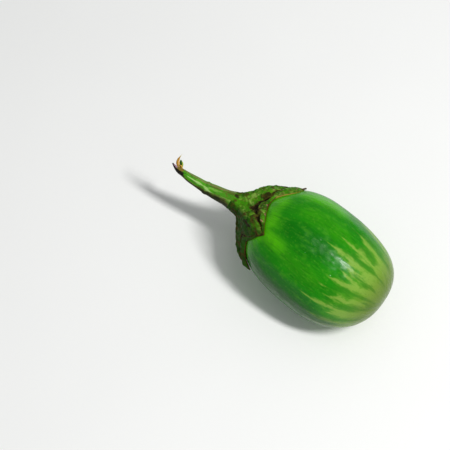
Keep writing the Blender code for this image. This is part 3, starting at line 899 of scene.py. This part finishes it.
# %% Measures of the relief
CREASE_LINE = (
    (-150.0, 4.6, 0.8, 0.5),
    (-120.0, 3.5, 0.7, 0.5),
    (-80.0, 5.5, 0.7, 0.5),
    (-50.0, 3.7, 0.4, 0.2),
    (-25.0, 0.7, 0.3, 0.1),
    (-14.0, 0.5, 0.5, 0.3),
    (-8.0, 2.0, 1.0, 1.1),
    (-3.0, 3.6, 1.3, 1.2),
    (3.0, 4.9, 1.6, 1.0),
    (10.0, 6.4, 2.5, 0.8),
    (18.0, 6.8, 2.4, 0.7),
    (26.0, 5.9, 1.9, 0.6),
    (34.0, 5.3, 1.7, 0.5),
    (42.0, 3.4, 1.8, 0.5),
    (50.0, 2.7, 1.6, 0.4),
    (58.0, 7.9, 0.7, 0.2),
    (75.0, 7.7, 0.5, 0.15),
    (95.0, 6.3, 0.6, 0.3),
    (120.0, 1.2, 1.0, 0.5),
    (150.0, 5.5, 1.2, 0.6),
    (180.0, 4.3, 1.0, 0.5),
)
CREASE_WANDER = 1.2
CREASE_WANDER_WIDTH = 2.6 * MM
CUP_STARTS = (-3.0, 5.0)
COLLAR_SWELL = 0.35 * MM
COLLAR_INNER_RISE = (0.3, 1.6)
COLLAR_OUTER_RISE = (0.1, 1.2)
COLLAR_END_ANGLES = (58.0, 100.0)
COLLAR_START_ANGLES = (100.0, 140.0)
SCAB_SIZE = 1.7 * MM
SCAB_HEIGHT = 0.34 * MM
CRACK_SPACING = 2.2 * MM
CRACK_SHARPNESS = 0.09
CRACK_DEPTH = 0.2 * MM
KEEL_HEIGHT = 0.35 * MM
KEEL_WIDTH = 0.9
KEEL_RISE = (0.0, 4.0)
RIDGE_LINES = 26
RIDGE_LINE_DRIFT = 2.0
RIDGE_LINE_HEIGHT = 0.05 * MM
EDGE_FADE = (0.0, 0.8)
SHARP_ANGLE = radians(60.0)
print("crease stops:", len(CREASE_LINE))


# %% Crease, collar, scabs and cracks
def lengths_from(rings, start):
    """Length along the loft from one ring to every other, in millimetres, negative before it."""
    steps = np.linalg.norm(np.diff(rings, axis=0), axis=2) / MM
    total = np.concatenate([np.zeros((1, rings.shape[1])), np.cumsum(steps, axis=0)])
    return total - total[start]


edge_ring = neck_ring + CUP_RINGS
from_edge = -lengths_from(loft, edge_ring)
up_stalk = -lengths_from(loft, neck_ring)
outside = (np.arange(len(loft)) <= edge_ring)[:, None] * 1.0
on_cup = smooth_step(-up_stalk, *CUP_STARTS) * outside
degrees_round = np.degrees(angles)
loft_radius = np.hypot(loft[..., 0], loft[..., 1]) / MM
crease_stops = np.array(CREASE_LINE).T
crease_at, crease_width, crease_depth = (
    np.interp(degrees_round, crease_stops[0], row, period=360.0)[None, :] for row in crease_stops[1:]
)
wander = CREASE_WANDER * fractal(loft, CREASE_WANDER_WIDTH, 4, seed=1.0)
crease = np.exp(-(((from_edge - crease_at + wander) / crease_width) ** 2)) * on_cup
collar = smooth_step(crease_at - from_edge, *COLLAR_INNER_RISE)
collar = collar * smooth_step(from_edge, *COLLAR_OUTER_RISE) * on_cup
flat_side = smooth_step(degrees_round, *COLLAR_END_ANGLES)
flat_side = flat_side * (1 - smooth_step(degrees_round, *COLLAR_START_ANGLES))
collar = collar * (1 - flat_side)[None, :]
scabs = fractal(loft, SCAB_SIZE, 4, seed=2.0)
cracks = np.exp(-((fractal(loft, CRACK_SPACING, 3, seed=5.0) / CRACK_SHARPNESS) ** 2)) * on_cup
keel = np.zeros_like(from_edge)
for lobe in LOBES:
    aside = angle_between(angles, lobe.angle)[None, :] * loft_radius
    keel = np.maximum(keel, np.exp(-((aside / KEEL_WIDTH) ** 2)))
keel = keel * on_cup * smooth_step(from_edge, *KEEL_RISE) * (1 - flat_side)[None, :]
lines = np.cos(RIDGE_LINES * angles + RIDGE_LINE_DRIFT * np.sin(2 * angles))[None, :] * outside
edge_fade = smooth_step(from_edge, *EDGE_FADE)
loft_relief = (
    -crease_depth * MM * crease
    + COLLAR_SWELL * collar
    + SCAB_HEIGHT * scabs * on_cup * edge_fade
    - CRACK_DEPTH * cracks * edge_fade
    + KEEL_HEIGHT * keel
    + RIDGE_LINE_HEIGHT * lines * edge_fade
)
loft = loft + ring_normals(loft) * loft_relief[..., None]
loft_world = to_world(loft)
print("deepest crease:", round(float((crease_depth * crease).max()), 2), "mm")

# %% Cut the loft at the neck into the calyx and the stalk
calyx = skin_over("calyx_cup", loft_world[neck_ring:])
stalk = skin_over("ribbed_stalk", loft_world[: neck_ring + 1])
for piece in (calyx, stalk):
    piece.data.set_sharp_from_angle(angle=SHARP_ANGLE)
print("calyx:", len(calyx.data.polygons), "faces; stalk:", len(stalk.data.polygons), "faces")

# %% [markdown]
# Marks on the calyx and the stalk
#
# Blotches and stripes are drawn like the flames, as lines of stops: degrees round the axis, millimetres
# along, and half a width. On the calyx the distance is from its edge, on the stalk it is from the neck.
# Pale ones on the calyx are fresh ridges, but two, on the lower-left keel and flank, are painted
# highlights. The pale and rubbed ones on the stalk are painted highlights along its ribs. Dark ones are
# bruised or corked skin, but one, on the calyx's lower-left flank, is painted shadow. Pink ones are
# healing scabs. The cup is freshest close to the neck, where hardly any cork has grown.

# %% Mark lines on the calyx
CUP_DARK_AND_SHADOW = (
    ((78.0, 7.6, 0.8), (84.0, 11.1, 1.0)),
    ((88.0, 11.0, 0.7), (86.0, 15.0, 0.9), (82.0, 18.5, 0.8)),
    ((44.0, 3.6, 0.7), (52.0, 5.8, 0.6), (57.0, 10.9, 0.5)),
    ((34.0, 16.6, 1.0), (38.0, 18.0, 1.1)),
    ((64.0, 13.2, 0.8), (74.0, 15.3, 0.9)),
    ((8.0, 7.4, 2.0), (6.0, 8.8, 1.6)),
    ((-20.0, 6.9, 0.8), (-22.0, 12.0, 1.2)),
    # This mark on the lower-left flank is painted shadow.
    ((-50.0, 13.2, 0.9), (-48.0, 16.5, 0.7)),
    ((120.0, 5.2, 1.0), (128.0, 12.4, 1.2)),
    ((-100.0, 9.6, 1.2), (-108.0, 13.4, 0.8)),
    ((165.0, 7.6, 1.4), (160.0, 11.8, 1.0)),
)
CUP_PALE_AND_HIGHLIGHTS = (
    # This streak on the lower-left flank is a painted highlight.
    ((-30.0, 9.0, 0.3), (-34.0, 11.5, 0.8), (-32.0, 14.5, 0.7)),
    ((-58.0, 12.0, 0.4), (-56.0, 16.0, 0.6)),
    # This streak on the lower-left lobe's keel is a painted highlight.
    ((-11.0, 12.4, 0.4), (-10.0, 15.4, 0.9), (-13.0, 18.8, 0.7), (-14.0, 20.7, 0.4)),
    ((22.0, 8.0, 1.2), (32.0, 9.8, 1.7), (43.0, 9.3, 0.9), (52.0, 12.3, 0.8), (60.0, 18.5, 0.9)),
    ((10.0, 0.4, 0.6), (13.0, 2.8, 0.8)),
    ((19.0, 2.8, 0.8), (17.0, 4.2, 0.7)),
    ((62.0, 6.3, 0.8), (69.0, 10.2, 0.6)),
    ((52.0, 0.1, 0.7), (56.0, 3.0, 0.8)),
    ((100.0, 8.8, 0.8), (98.0, 14.8, 0.6)),
    ((-82.0, 8.0, 0.7), (-80.0, 16.0, 0.6)),
    ((150.0, 9.0, 0.8), (148.0, 15.0, 0.6)),
    ((-148.0, 8.0, 0.7), (-150.0, 15.0, 0.7)),
)
CUP_PINK = (
    ((7.0, 0.1, 0.7), (9.0, 0.1, 0.5)),
    ((-1.5, 0.9, 0.3), (-1.0, 2.1, 0.4)),
    ((62.0, 9.6, 0.3), (64.0, 11.0, 0.3)),
    ((27.0, 0.1, 0.4), (29.0, 0.9, 0.3)),
    ((80.0, 1.2, 0.6), (74.0, 2.3, 0.5)),
    ((-120.0, 5.3, 0.4), (-121.0, 6.3, 0.4)),
)
TAN_EDGE_ANGLES = (45.0, 50.0, 92.0, 110.0)
# The calyx's lower-left flank is darkened in its colour as painted shade.
SHADED_ANGLE = -75.0
SHADED_COSINES = (0.1, 0.75)
NECK_FRESH_LENGTHS = (-8.0, -2.0)
NECK_FRESHNESS = 0.5
TAN_FADE = 2.0
CUP_FADE = 1.5
PINK_FADE = 0.6
print("calyx marks:", len(CUP_DARK_AND_SHADOW), "dark,", len(CUP_PALE_AND_HIGHLIGHTS), "pale,", len(CUP_PINK), "pink")

# %% Mark lines on the stalk
# Painted highlights along the stalk's rib crests.
STALK_RIB_HIGHLIGHTS = (
    ((0.0, 21.5, 0.2), (1.0, 19.0, 0.35), (1.0, 16.8, 0.55), (0.0, 14.9, 0.5), (-1.0, 14.0, 0.2)),
    ((0.0, 13.3, 0.4), (-8.0, 12.3, 0.8), (-15.0, 11.0, 0.8), (-20.0, 9.8, 0.4)),
    ((140.0, 22.0, 0.2), (142.0, 15.0, 0.6), (146.0, 8.0, 0.6)),
    ((-146.0, 21.0, 0.2), (-144.0, 14.0, 0.6), (-148.0, 6.0, 0.7)),
)
# Softer painted highlights along the stalk's ribs.
STALK_SOFT_HIGHLIGHTS = (
    ((16.0, 11.0, 0.3), (16.0, 8.8, 0.8), (19.0, 6.9, 0.8), (24.0, 5.4, 0.3)),
    ((-22.0, 9.0, 0.3), (-20.0, 6.0, 0.5), (-14.0, 2.0, 0.6), (-10.0, -2.0, 0.4)),
)
STALK_BARK = (
    ((30.0, 3.9, 0.3), (20.0, 3.0, 0.6), (8.0, 2.6, 0.3)),
    ((42.0, 5.0, 0.4), (44.0, 2.4, 0.8), (38.0, -1.0, 0.7)),
    ((47.0, 11.6, 0.3), (40.0, 9.4, 0.6), (46.0, 7.0, 0.5)),
    ((-50.0, 13.8, 0.5), (-58.0, 12.0, 0.9), (-62.0, 8.5, 0.9), (-58.0, 6.0, 1.0), (-64.0, 3.0, 0.8)),
    ((110.0, 12.0, 0.4), (112.0, 6.0, 0.8), (116.0, 1.0, 0.9)),
    ((-170.0, 10.0, 0.4), (-174.0, 3.0, 0.8)),
)
# Brown bark under the stalk, with painted shade where it runs black.
STALK_UNDER_BARK_AND_SHADE = (
    ((-40.0, 24.5, 0.7), (-62.0, 22.0, 0.6), (-66.0, 18.0, 0.9), (-63.0, 13.5, 1.3),
     (-60.0, 10.0, 1.9), (-58.0, 6.0, 2.4), (-62.0, 2.0, 2.6), (-72.0, -1.0, 2.6)),
)
STALK_SEAM = (
    ((60.0, 24.0, 0.3), (56.0, 20.0, 0.45), (54.0, 12.0, 0.6), (58.0, 5.0, 0.6), (64.0, 0.0, 0.6)),
)
TORN_START = 23.4
LIP_ANGLES = (-150.0, 8.0)
LIP_SOFTNESS = 12.0
STALK_FADE = 1.0
print("stalk marks:", len(STALK_RIB_HIGHLIGHTS), "pale,", len(STALK_SOFT_HIGHLIGHTS), "rubbed,", len(STALK_BARK), "of bark")

# %% Paint the marks
rows_of = {"calyx_cup": slice(neck_ring, None), "ribbed_stalk": slice(0, neck_ring + 1)}
loft_degrees = 0 * from_edge + degrees_round[None, :]
stalk_radius = np.linalg.norm(loft - loft.mean(axis=1, keepdims=True), axis=2) / MM
tan_edge = np.interp(degrees_round, TAN_EDGE_ANGLES, (0.0, 1.0, 1.0, 0.0)) * (degrees_round < 180.0)
near_neck = smooth_step(up_stalk, *NECK_FRESH_LENGTHS)
lip_middle, lip_half = sum(LIP_ANGLES) / 2, (LIP_ANGLES[1] - LIP_ANGLES[0]) / 2
lip_aside = lip_half - np.abs((loft_degrees - lip_middle + 180.0) % 360.0 - 180.0)
marks = {
    "from_edge_mm": from_edge,
    "up_stalk_mm": up_stalk,
    "tan_rim_mm": from_edge + TAN_FADE * (1 - tan_edge)[None, :],
    "shaded_side": smooth_step(np.cos(np.radians(loft_degrees - SHADED_ANGLE)), *SHADED_COSINES),
    "crease": crease - NECK_FRESHNESS * near_neck,
    "cracks": cracks,
    "black_lip": np.minimum(lip_aside / LIP_SOFTNESS, up_stalk - TORN_START),
}
for name, streaks, fade in (
    ("cup_dark_and_shadow", CUP_DARK_AND_SHADOW, CUP_FADE),
    ("cup_pale_and_highlight", CUP_PALE_AND_HIGHLIGHTS, CUP_FADE),
    ("cup_pink", CUP_PINK, PINK_FADE),
):
    marks[name] = streak_field(loft_degrees, loft_radius, from_edge, streaks, fade)
for name, streaks in (
    ("stalk_rib_highlight", STALK_RIB_HIGHLIGHTS),
    ("stalk_soft_highlight", STALK_SOFT_HIGHLIGHTS),
    ("stalk_bark", STALK_BARK),
    ("stalk_under_bark_and_shade", STALK_UNDER_BARK_AND_SHADE),
    ("stalk_seam", STALK_SEAM),
):
    marks[name] = streak_field(loft_degrees, stalk_radius, up_stalk, streaks, STALK_FADE)
loft_grain = np.stack([loft[..., 0] / MM, loft[..., 1] / MM, -up_stalk], axis=2)
for piece in (calyx, stalk):
    rows = rows_of[piece.name]
    paint(piece, "grain_mm", loft_grain[rows])
    for name, values in marks.items():
        paint(piece, name, values[rows])
print("painted marks:", len(marks))

# %% [markdown]
# The calyx's finish: rough green husk
#
# The cup is leaf tissue gone leathery: green where it is still fresh, grey-brown where it has corked
# over, nearly black down in the crease. It has no wax left to speak of, so it is rough, from 0.5 on green
# skin to 0.8 on cork, and its specular level is very low, which keeps its dark patches dark. Its index of
# refraction is that of dry plant fibre, near 1.5. Patches of green and brown are three to five millimetres
# wide, and brown specks about one. Its very edge dried to a thin brown or tan line.

# %% Rough green husk
husk_finish = grown_finish(
    "rough_green_husk",
    ior=1.5,
    specular=0.08,
    rough=("small", 0.5, 0.8),
    ground="#3e8408",
    painted=(
        *("from_edge_mm", "tan_rim_mm", "shaded_side", "crease"),
        *("cracks", "cup_dark_and_shadow", "cup_pale_and_highlight", "cup_pink"),
    ),
    grains=(
        Grain("big", 5.0, 1.2, 3.0),
        Grain("blotch", 3.6, 1.3, 3.0),
        Grain("patch", 2.6, 1.3, 3.0),
        Grain("brown", 3.8, 1.5, 3.0),
        Grain("small", 1.2, 1.4, 4.0),
        Grain("streaks", 0.9, 6.0, 3.0),
    ),
    frays=(
        Fray("dark_edge", "cup_dark_and_shadow", "blotch", 5.0),
        Fray("pale_torn", "cup_pale_and_highlight", "streaks", 2.6),
        Fray("pale_edge", "pale_torn", "patch", 3.4),
        Fray("pink_edge", "cup_pink", "small", 2.4),
        Fray("crease_torn", "crease", "patch", 2.4),
        Fray("crease_edge", "crease_torn", "small", 1.8),
        Fray("rim_edge", "from_edge_mm", "patch", 2.0),
        Fray("tan_rim", "tan_rim_mm", "patch", 1.6),
    ),
    layers=(
        Layer("big", 0.45, 0.6, 0.65, "#548e10"),
        Layer("blotch", 0.49, 0.6, 0.85, "#1f5004"),
        Layer("streaks", 0.52, 0.68, 0.45, "#7ea83c"),
        Layer("patch", 0.44, 0.34, 0.5, "#7fa43c"),
        # Pale fresh ridges, and painted highlights on the lower-left keel and flank.
        Layer("pale_edge", -0.1, 0.9, 0.65, "#94b452"),
        Layer("small", 0.53, 0.64, 0.55, "#50541a"),
        # Painted shade on the calyx's lower-left flank.
        Layer("shaded_side", 0.0, 1.0, 0.8, "#0a3400"),
        # Dark corked patches, and painted shadow on the lower-left flank.
        Layer("dark_edge", -0.1, 0.8, 0.9, "#2a220a"),
        Layer("cracks", 0.5, 1.0, 0.35, "#2e2a0e"),
        Layer("brown", 0.56, 0.66, 0.75, "#44400e"),
        Layer("crease_edge", 0.1, 0.5, 0.85, "#4b3f14"),
        Layer("crease_edge", 0.45, 1.0, 0.97, "#1c1206"),
        Layer("pink_edge", 0.0, 0.7, 0.8, "#bd8a74"),
        Layer("rim_edge", 0.05, -0.3, 0.85, "#4c2c14"),
        Layer("tan_rim", 0.0, -0.3, 0.85, "#9a8c3a"),
    ),
    bumps=(Bump("blotch", 0.35), Bump("small", 0.3)),
)
calyx.data.materials.append(husk_finish)

# %% [markdown]
# The stalk's finish: ribbed green stalk skin
#
# The stalk is still fresh, so its skin is tighter and shinier than the calyx's: roughness 0.28 to 0.5,
# and a specular level of 0.2 like the egg's. The pale streaks along its raised ribs are painted highlights.
# Its underside is brown bark, and the black along it is painted shade. A grey seam of bark runs along its
# upper side. Near the tear the green stops: the wood is tan, and the lip that held on longest has dried
# black. Its grain is half a millimetre wide, and long.

# %% Ribbed green stalk skin
stalk_finish = grown_finish(
    "ribbed_green_stalk_skin",
    ior=1.45,
    specular=0.2,
    rough=("blotch", 0.28, 0.5),
    ground="#389000",
    painted=(
        *("up_stalk_mm", "stalk_rib_highlight", "stalk_soft_highlight", "stalk_bark"),
        *("stalk_under_bark_and_shade", "stalk_seam", "black_lip"),
    ),
    grains=(
        Grain("big", 3.0, 2.0, 4.0),
        Grain("blotch", 1.4, 2.5, 4.0),
        Grain("small", 0.8, 2.0, 4.0),
        Grain("streaks", 0.5, 10.0, 3.0),
    ),
    frays=(
        Fray("pale_edge", "stalk_rib_highlight", "streaks", 1.6),
        Fray("soft_highlight_edge", "stalk_soft_highlight", "blotch", 2.4),
        Fray("bark_torn", "stalk_bark", "streaks", 1.6),
        Fray("bark_edge", "bark_torn", "small", 2.4),
        Fray("under_bark_and_shade_edge", "stalk_under_bark_and_shade", "blotch", 1.6),
        Fray("seam_edge", "stalk_seam", "streaks", 1.8),
        Fray("core_edge", "up_stalk_mm", "streaks", 3.0),
        Fray("lip_edge", "black_lip", "small", 4.0),
    ),
    layers=(
        Layer("big", 0.42, 0.62, 0.6, "#5aa812"),
        Layer("streaks", 0.52, 0.66, 0.45, "#86bc40"),
        Layer("blotch", 0.52, 0.66, 0.6, "#245e04"),
        Layer("up_stalk_mm", 15.0, -1.0, 0.6, "#44741a"),
        # Painted highlights: soft pale streaks on the ribs.
        Layer("soft_highlight_edge", -0.2, 1.0, 0.6, "#8cb850"),
        # Painted highlights: pale streaks along the rib crests.
        Layer("pale_edge", -0.3, 1.0, 0.8, "#b4d884"),
        Layer("bark_edge", -0.1, 0.7, 0.7, "#5d5220"),
        Layer("seam_edge", -0.2, 0.7, 0.75, "#80704e"),
        # Brown bark under the stalk, then painted shade in near-black.
        Layer("under_bark_and_shade_edge", -0.2, 0.4, 0.8, "#4c4014"),
        Layer("under_bark_and_shade_edge", 0.2, 0.8, 0.9, "#141c05"),
        Layer("small", 0.56, 0.7, 0.5, "#4c421a"),
        Layer("core_edge", 24.2, 25.2, 0.95, "#80692a"),
        Layer("core_edge", 27.4, 28.4, 0.9, "#b294a6"),
        Layer("lip_edge", -0.2, 0.7, 0.97, "#0a0804"),
    ),
    bumps=(Bump("streaks", 0.12), Bump("small", 0.1)),
)
stalk.data.materials.append(stalk_finish)
for piece, node, slot in ((calyx, "calyx", "calyx_skin"), (stalk, "stem", "stem_skin")):
    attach(piece, "root")
    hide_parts(node)
print("dressed:", ", ".join(piece.name for piece in (egg, calyx, stalk)))

# %% [markdown]
# The torn end and the curled tip
#
# The stalk was pulled from the plant, not cut. A strip of its woody wall stands up from the break, curved
# like a horn and drawn out to a hair, with a flap of green bark and a loop of fibre beside it. Along the
# lower side a dried lip runs on past the wood. The tip of the calyx's upper lobe has dried too, and
# curls up off the skin. Each is a thin blade, so each is a strip of rings along a bent line. A stop gives
# its height, how far it lies towards the upper edge and out of the seen side, and half its width, in mm.

# %% Blade lines
BLADES = {
    "torn_shard": (
        (71.6, -1.7, 2.4, 0.5),
        (72.8, -0.8, 2.5, 0.7),
        (73.7, 0.2, 2.5, 0.75),
        (74.1, 1.2, 2.4, 0.6),
        (74.2, 2.1, 2.3, 0.32),
        (74.3, 3.0, 2.2, 0.2),
        (74.1, 3.9, 2.1, 0.08),
    ),
    "bark_flap": (
        (70.9, -1.4, 2.0, 0.5),
        (71.6, -0.3, 2.0, 0.85),
        (72.3, 0.6, 1.9, 0.85),
        (72.9, 1.3, 1.8, 0.5),
        (73.3, 1.9, 1.7, 0.12),
    ),
    "fibre_loop": (
        (70.4, -1.3, 2.6, 0.35),
        (70.9, -0.7, 3.0, 0.35),
        (71.4, -0.3, 3.1, 0.32),
        (72.0, -0.4, 2.9, 0.3),
        (72.4, -0.8, 2.5, 0.2),
    ),
    "dried_lip": (
        (69.6, -3.3, 2.0, 0.3),
        (70.8, -3.3, 2.2, 0.5),
        (72.0, -2.9, 2.4, 0.5),
        (73.4, -2.35, 2.5, 0.45),
        (74.4, -1.85, 2.5, 0.4),
        (75.3, -1.4, 2.5, 0.3),
    ),
    "curled_tip": (
        (25.0, 18.5, 5.6, 0.4),
        (24.2, 19.05, 5.5, 0.5),
        (23.4, 19.65, 5.3, 0.55),
        (22.7, 20.3, 5.1, 0.5),
        (22.0, 21.1, 4.8, 0.42),
        (21.3, 22.0, 4.6, 0.28),
    ),
}
BLADE_HALF_THICKNESS = 0.3
BLADE_LEAST_HALF_WIDTH = 0.04
BLADE_SIDES = 24
BLADE_RINGS = 48
BLADE_SLOPE_SHARE = 0.02
BLADE_ROUGHENING = 0.12
BLADE_LUMP_WIDTH = 0.9
BLADE_TWIST = radians(20.0)
print("blade lines:", {name: len(stops) for name, stops in BLADES.items()})


# %% Blades along bent lines
def blade(name, stops, seed):
    """A thin, slightly twisted strip of rings along a line of stops, drawn out to its tip."""
    rows = np.array(stops)
    turns = np.linspace(0.0, 2 * pi, BLADE_SIDES, endpoint=False)
    rings, asides, shares = [], [], []
    for ring in range(BLADE_RINGS + 1):
        share = 1 - ring / BLADE_RINGS
        height, across, front, width = smooth_point(rows, share)
        width = max(BLADE_LEAST_HALF_WIDTH, width)
        way = heading(rows, share, BLADE_SLOPE_SHARE)
        over = Matrix.Rotation(BLADE_TWIST * (share - 0.5), 3, way) @ Vector((1.0, 0.0, 0.0))
        beside = way.cross(over).normalized()
        over = beside.cross(way)
        out = np.cos(turns)[:, None] * np.array(over) * min(BLADE_HALF_THICKNESS, width)
        aside = np.sin(turns) * width
        spread = out + aside[:, None] * np.array(beside)
        rings.append(np.array((front, across, height)) + spread)
        asides.append(aside)
        shares.append(share + 0 * turns)
    rings = np.array(rings)
    lumps = BLADE_ROUGHENING * fractal(rings, BLADE_LUMP_WIDTH, 3, seed)
    rings = rings + ring_normals(rings) * lumps[..., None]
    piece = skin_over(name, to_world(rings * MM))
    paint(piece, "grain_mm", rings)
    paint(piece, "aside_mm", np.array(asides))
    paint(piece, "along_share", np.array(shares))
    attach(piece, "root")
    return piece


blades = {name: blade(name, stops, seed) for seed, (name, stops) in enumerate(BLADES.items(), start=11)}
print("blades:", ", ".join(blades))

# %% [markdown]
# The blades' finishes: dry torn wood, green bark and dried lip
#
# Torn wood dries ochre, with paler threads where its fibres parted and an almost white tip. The bark flap
# is the outer skin of the stalk, dark green with a bright yellow-green torn edge. The lip and the curled
# tip dried longest, so they are black-brown, and the tip is still tan where it joins the green. Dry plant
# fibre has an index of refraction near 1.5 and is rough, 0.5 to 0.8, while the bark is fresher and a little
# smoother. Fibres are a third of a millimetre wide on all four, so what they share is written once.

# %% Dry torn wood
FIBROUS = {
    "specular": 0.2,
    "painted": ("aside_mm", "along_share"),
    "grains": (Grain("fibres", 0.35, 6.0, 3.0), Grain("small", 0.5, 1.5, 3.0)),
    "bumps": (Bump("fibres", 0.12), Bump("small", 0.05)),
}
wood_finish = grown_finish(
    "dry_torn_wood",
    ior=1.5,
    rough=("fibres", 0.5, 0.75),
    ground="#a87a1c",
    frays=(Fray("tip_edge", "along_share", "fibres", 0.4), Fray("side_edge", "aside_mm", "small", 0.8)),
    layers=(
        Layer("fibres", 0.5, 0.65, 0.6, "#d9a450"),
        # A pale band down one side of the strip is a painted highlight; the other side is painted darker.
        Layer("side_edge", 0.1, 0.45, 0.7, "#e8c07c"),
        Layer("side_edge", -0.3, -0.6, 0.7, "#6e4c10"),
        Layer("tip_edge", 0.25, 0.05, 0.7, "#6f6a1c"),
        Layer("tip_edge", 0.62, 0.78, 0.6, "#8f8426"),
        Layer("tip_edge", 0.78, 0.95, 0.85, "#d8d29c"),
        Layer("small", 0.62, 0.75, 0.5, "#6e4a12"),
    ),
    **FIBROUS,
)

# %% Green bark and dried skin
bark_finish = grown_finish(
    "green_bark_flap_skin",
    ior=1.45,
    rough=("small", 0.45, 0.65),
    ground="#0c4404",
    frays=(Fray("side_edge", "aside_mm", "small", 0.8),),
    layers=(
        Layer("small", 0.5, 0.7, 0.5, "#245a0c"),
        Layer("along_share", 0.6, 0.9, 0.5, "#3f7a24"),
        Layer("side_edge", 0.3, 0.55, 0.9, "#a3b63a"),
    ),
    **FIBROUS,
)
dried_finish = grown_finish(
    "black_dried_skin",
    ior=1.5,
    rough=("small", 0.5, 0.8),
    ground="#120e06",
    frays=(),
    layers=(
        Layer("fibres", 0.55, 0.7, 0.5, "#3a2c14"),
        Layer("small", 0.6, 0.75, 0.4, "#4c3d1c"),
    ),
    **FIBROUS,
)
tip_finish = grown_finish(
    "brown_curled_husk",
    ior=1.5,
    rough=("small", 0.5, 0.8),
    ground="#3c2e0c",
    frays=(Fray("root_edge", "along_share", "small", 0.5),),
    layers=(
        Layer("root_edge", 0.6, 0.4, 0.9, "#8a6526"),
        Layer("root_edge", 0.3, 0.05, 0.9, "#8c9038"),
        Layer("fibres", 0.58, 0.7, 0.4, "#a4845a"),
    ),
    **FIBROUS,
)

# %% Dress the blades
blade_looks = {
    "torn_shard": (wood_finish, "dry_bark"),
    "bark_flap": (bark_finish, "stem_skin"),
    "fibre_loop": (wood_finish, "dry_bark"),
    "dried_lip": (dried_finish, "dry_bark"),
    "curled_tip": (tip_finish, "calyx_skin"),
}
for name, (finish, slot) in blade_looks.items():
    blades[name].data.materials.append(finish)
print("dressed blades:", len(blade_looks))

# %% [markdown]
# Floor and light
#
# The real fruit was photographed in bright soft light on white. A floor of matt white paint, rolled on,
# gives it something to lie on: very rough, with a faint roller texture three millimetres wide. One long
# soft box gives the long highlight on the egg and the shadow. A weak one overhead softens the edge of that
# highlight, and a pale room fills the shadows.

# %% Floor
FLOOR_HALF_SIZE = 6.0
floor_mesh = bpy.data.meshes.new("floor")
corners = [(x * FLOOR_HALF_SIZE, y * FLOOR_HALF_SIZE, 0.0) for x, y in ((-1, -1), (1, -1), (1, 1), (-1, 1))]
floor_mesh.from_pydata(corners, [], [(0, 1, 2, 3)])
floor = bpy.data.objects.new("floor", floor_mesh)
bpy.context.scene.collection.objects.link(floor)
floor_place = floor_mesh.attributes.new("grain_mm", "FLOAT_VECTOR", "POINT")
floor_place.data.foreach_set("vector", (np.array(corners) / MM).astype(np.float32).ravel())
floor_finish = grown_finish(
    "matt_white_paint",
    ior=1.45,
    specular=0.5,
    rough=("roller", 0.75, 0.85),
    ground="#f4f4f2",
    painted=(),
    grains=(Grain("roller", 3.0, 1.0, 3.0), Grain("patches", 90.0, 1.0, 2.0)),
    frays=(),
    layers=(Layer("patches", 0.4, 0.6, 0.3, "#f1f1ef"),),
    bumps=(Bump("roller", 0.04),),
)
floor.data.materials.append(floor_finish)
print("floor side in m:", 2 * FLOOR_HALF_SIZE)


# %% Lights
SoftBox = namedtuple("SoftBox", "name azimuth elevation away size power")
SOFT_BOXES = (
    SoftBox("long_soft_box", radians(4.0), radians(63.0), 0.9, (0.09, 0.28), 6.4),
    SoftBox("overhead_box", radians(10.0), radians(82.0), 1.1, (0.3, 0.3), 0.6),
)
ROOM_COLOUR = "#f4f6f8"
ROOM_STRENGTH = 0.38


def hang(box):
    """Hang a soft box so that it looks at the egg, its long side towards the zenith."""
    data = bpy.data.lights.new(box.name, "AREA")
    data.shape = "RECTANGLE"
    data.size, data.size_y = box.size
    data.energy = box.power
    light = bpy.data.objects.new(box.name, data)
    level = Vector((cos(box.azimuth), sin(box.azimuth), 0.0))
    towards = level * cos(box.elevation) + Vector((0.0, 0.0, sin(box.elevation)))
    light.location = lying.translation + towards * box.away
    light.rotation_euler = towards.to_track_quat("Z", "Y").to_euler()
    bpy.context.scene.collection.objects.link(light)


for box in SOFT_BOXES:
    hang(box)
world = bpy.data.worlds.new("pale_room")
bpy.context.scene.world = world
world.use_nodes = True
room = world.node_tree.nodes["Background"]
room.inputs["Color"].default_value = colour(ROOM_COLOUR)
room.inputs["Strength"].default_value = ROOM_STRENGTH
print("lights:", ", ".join(box.name for box in SOFT_BOXES))
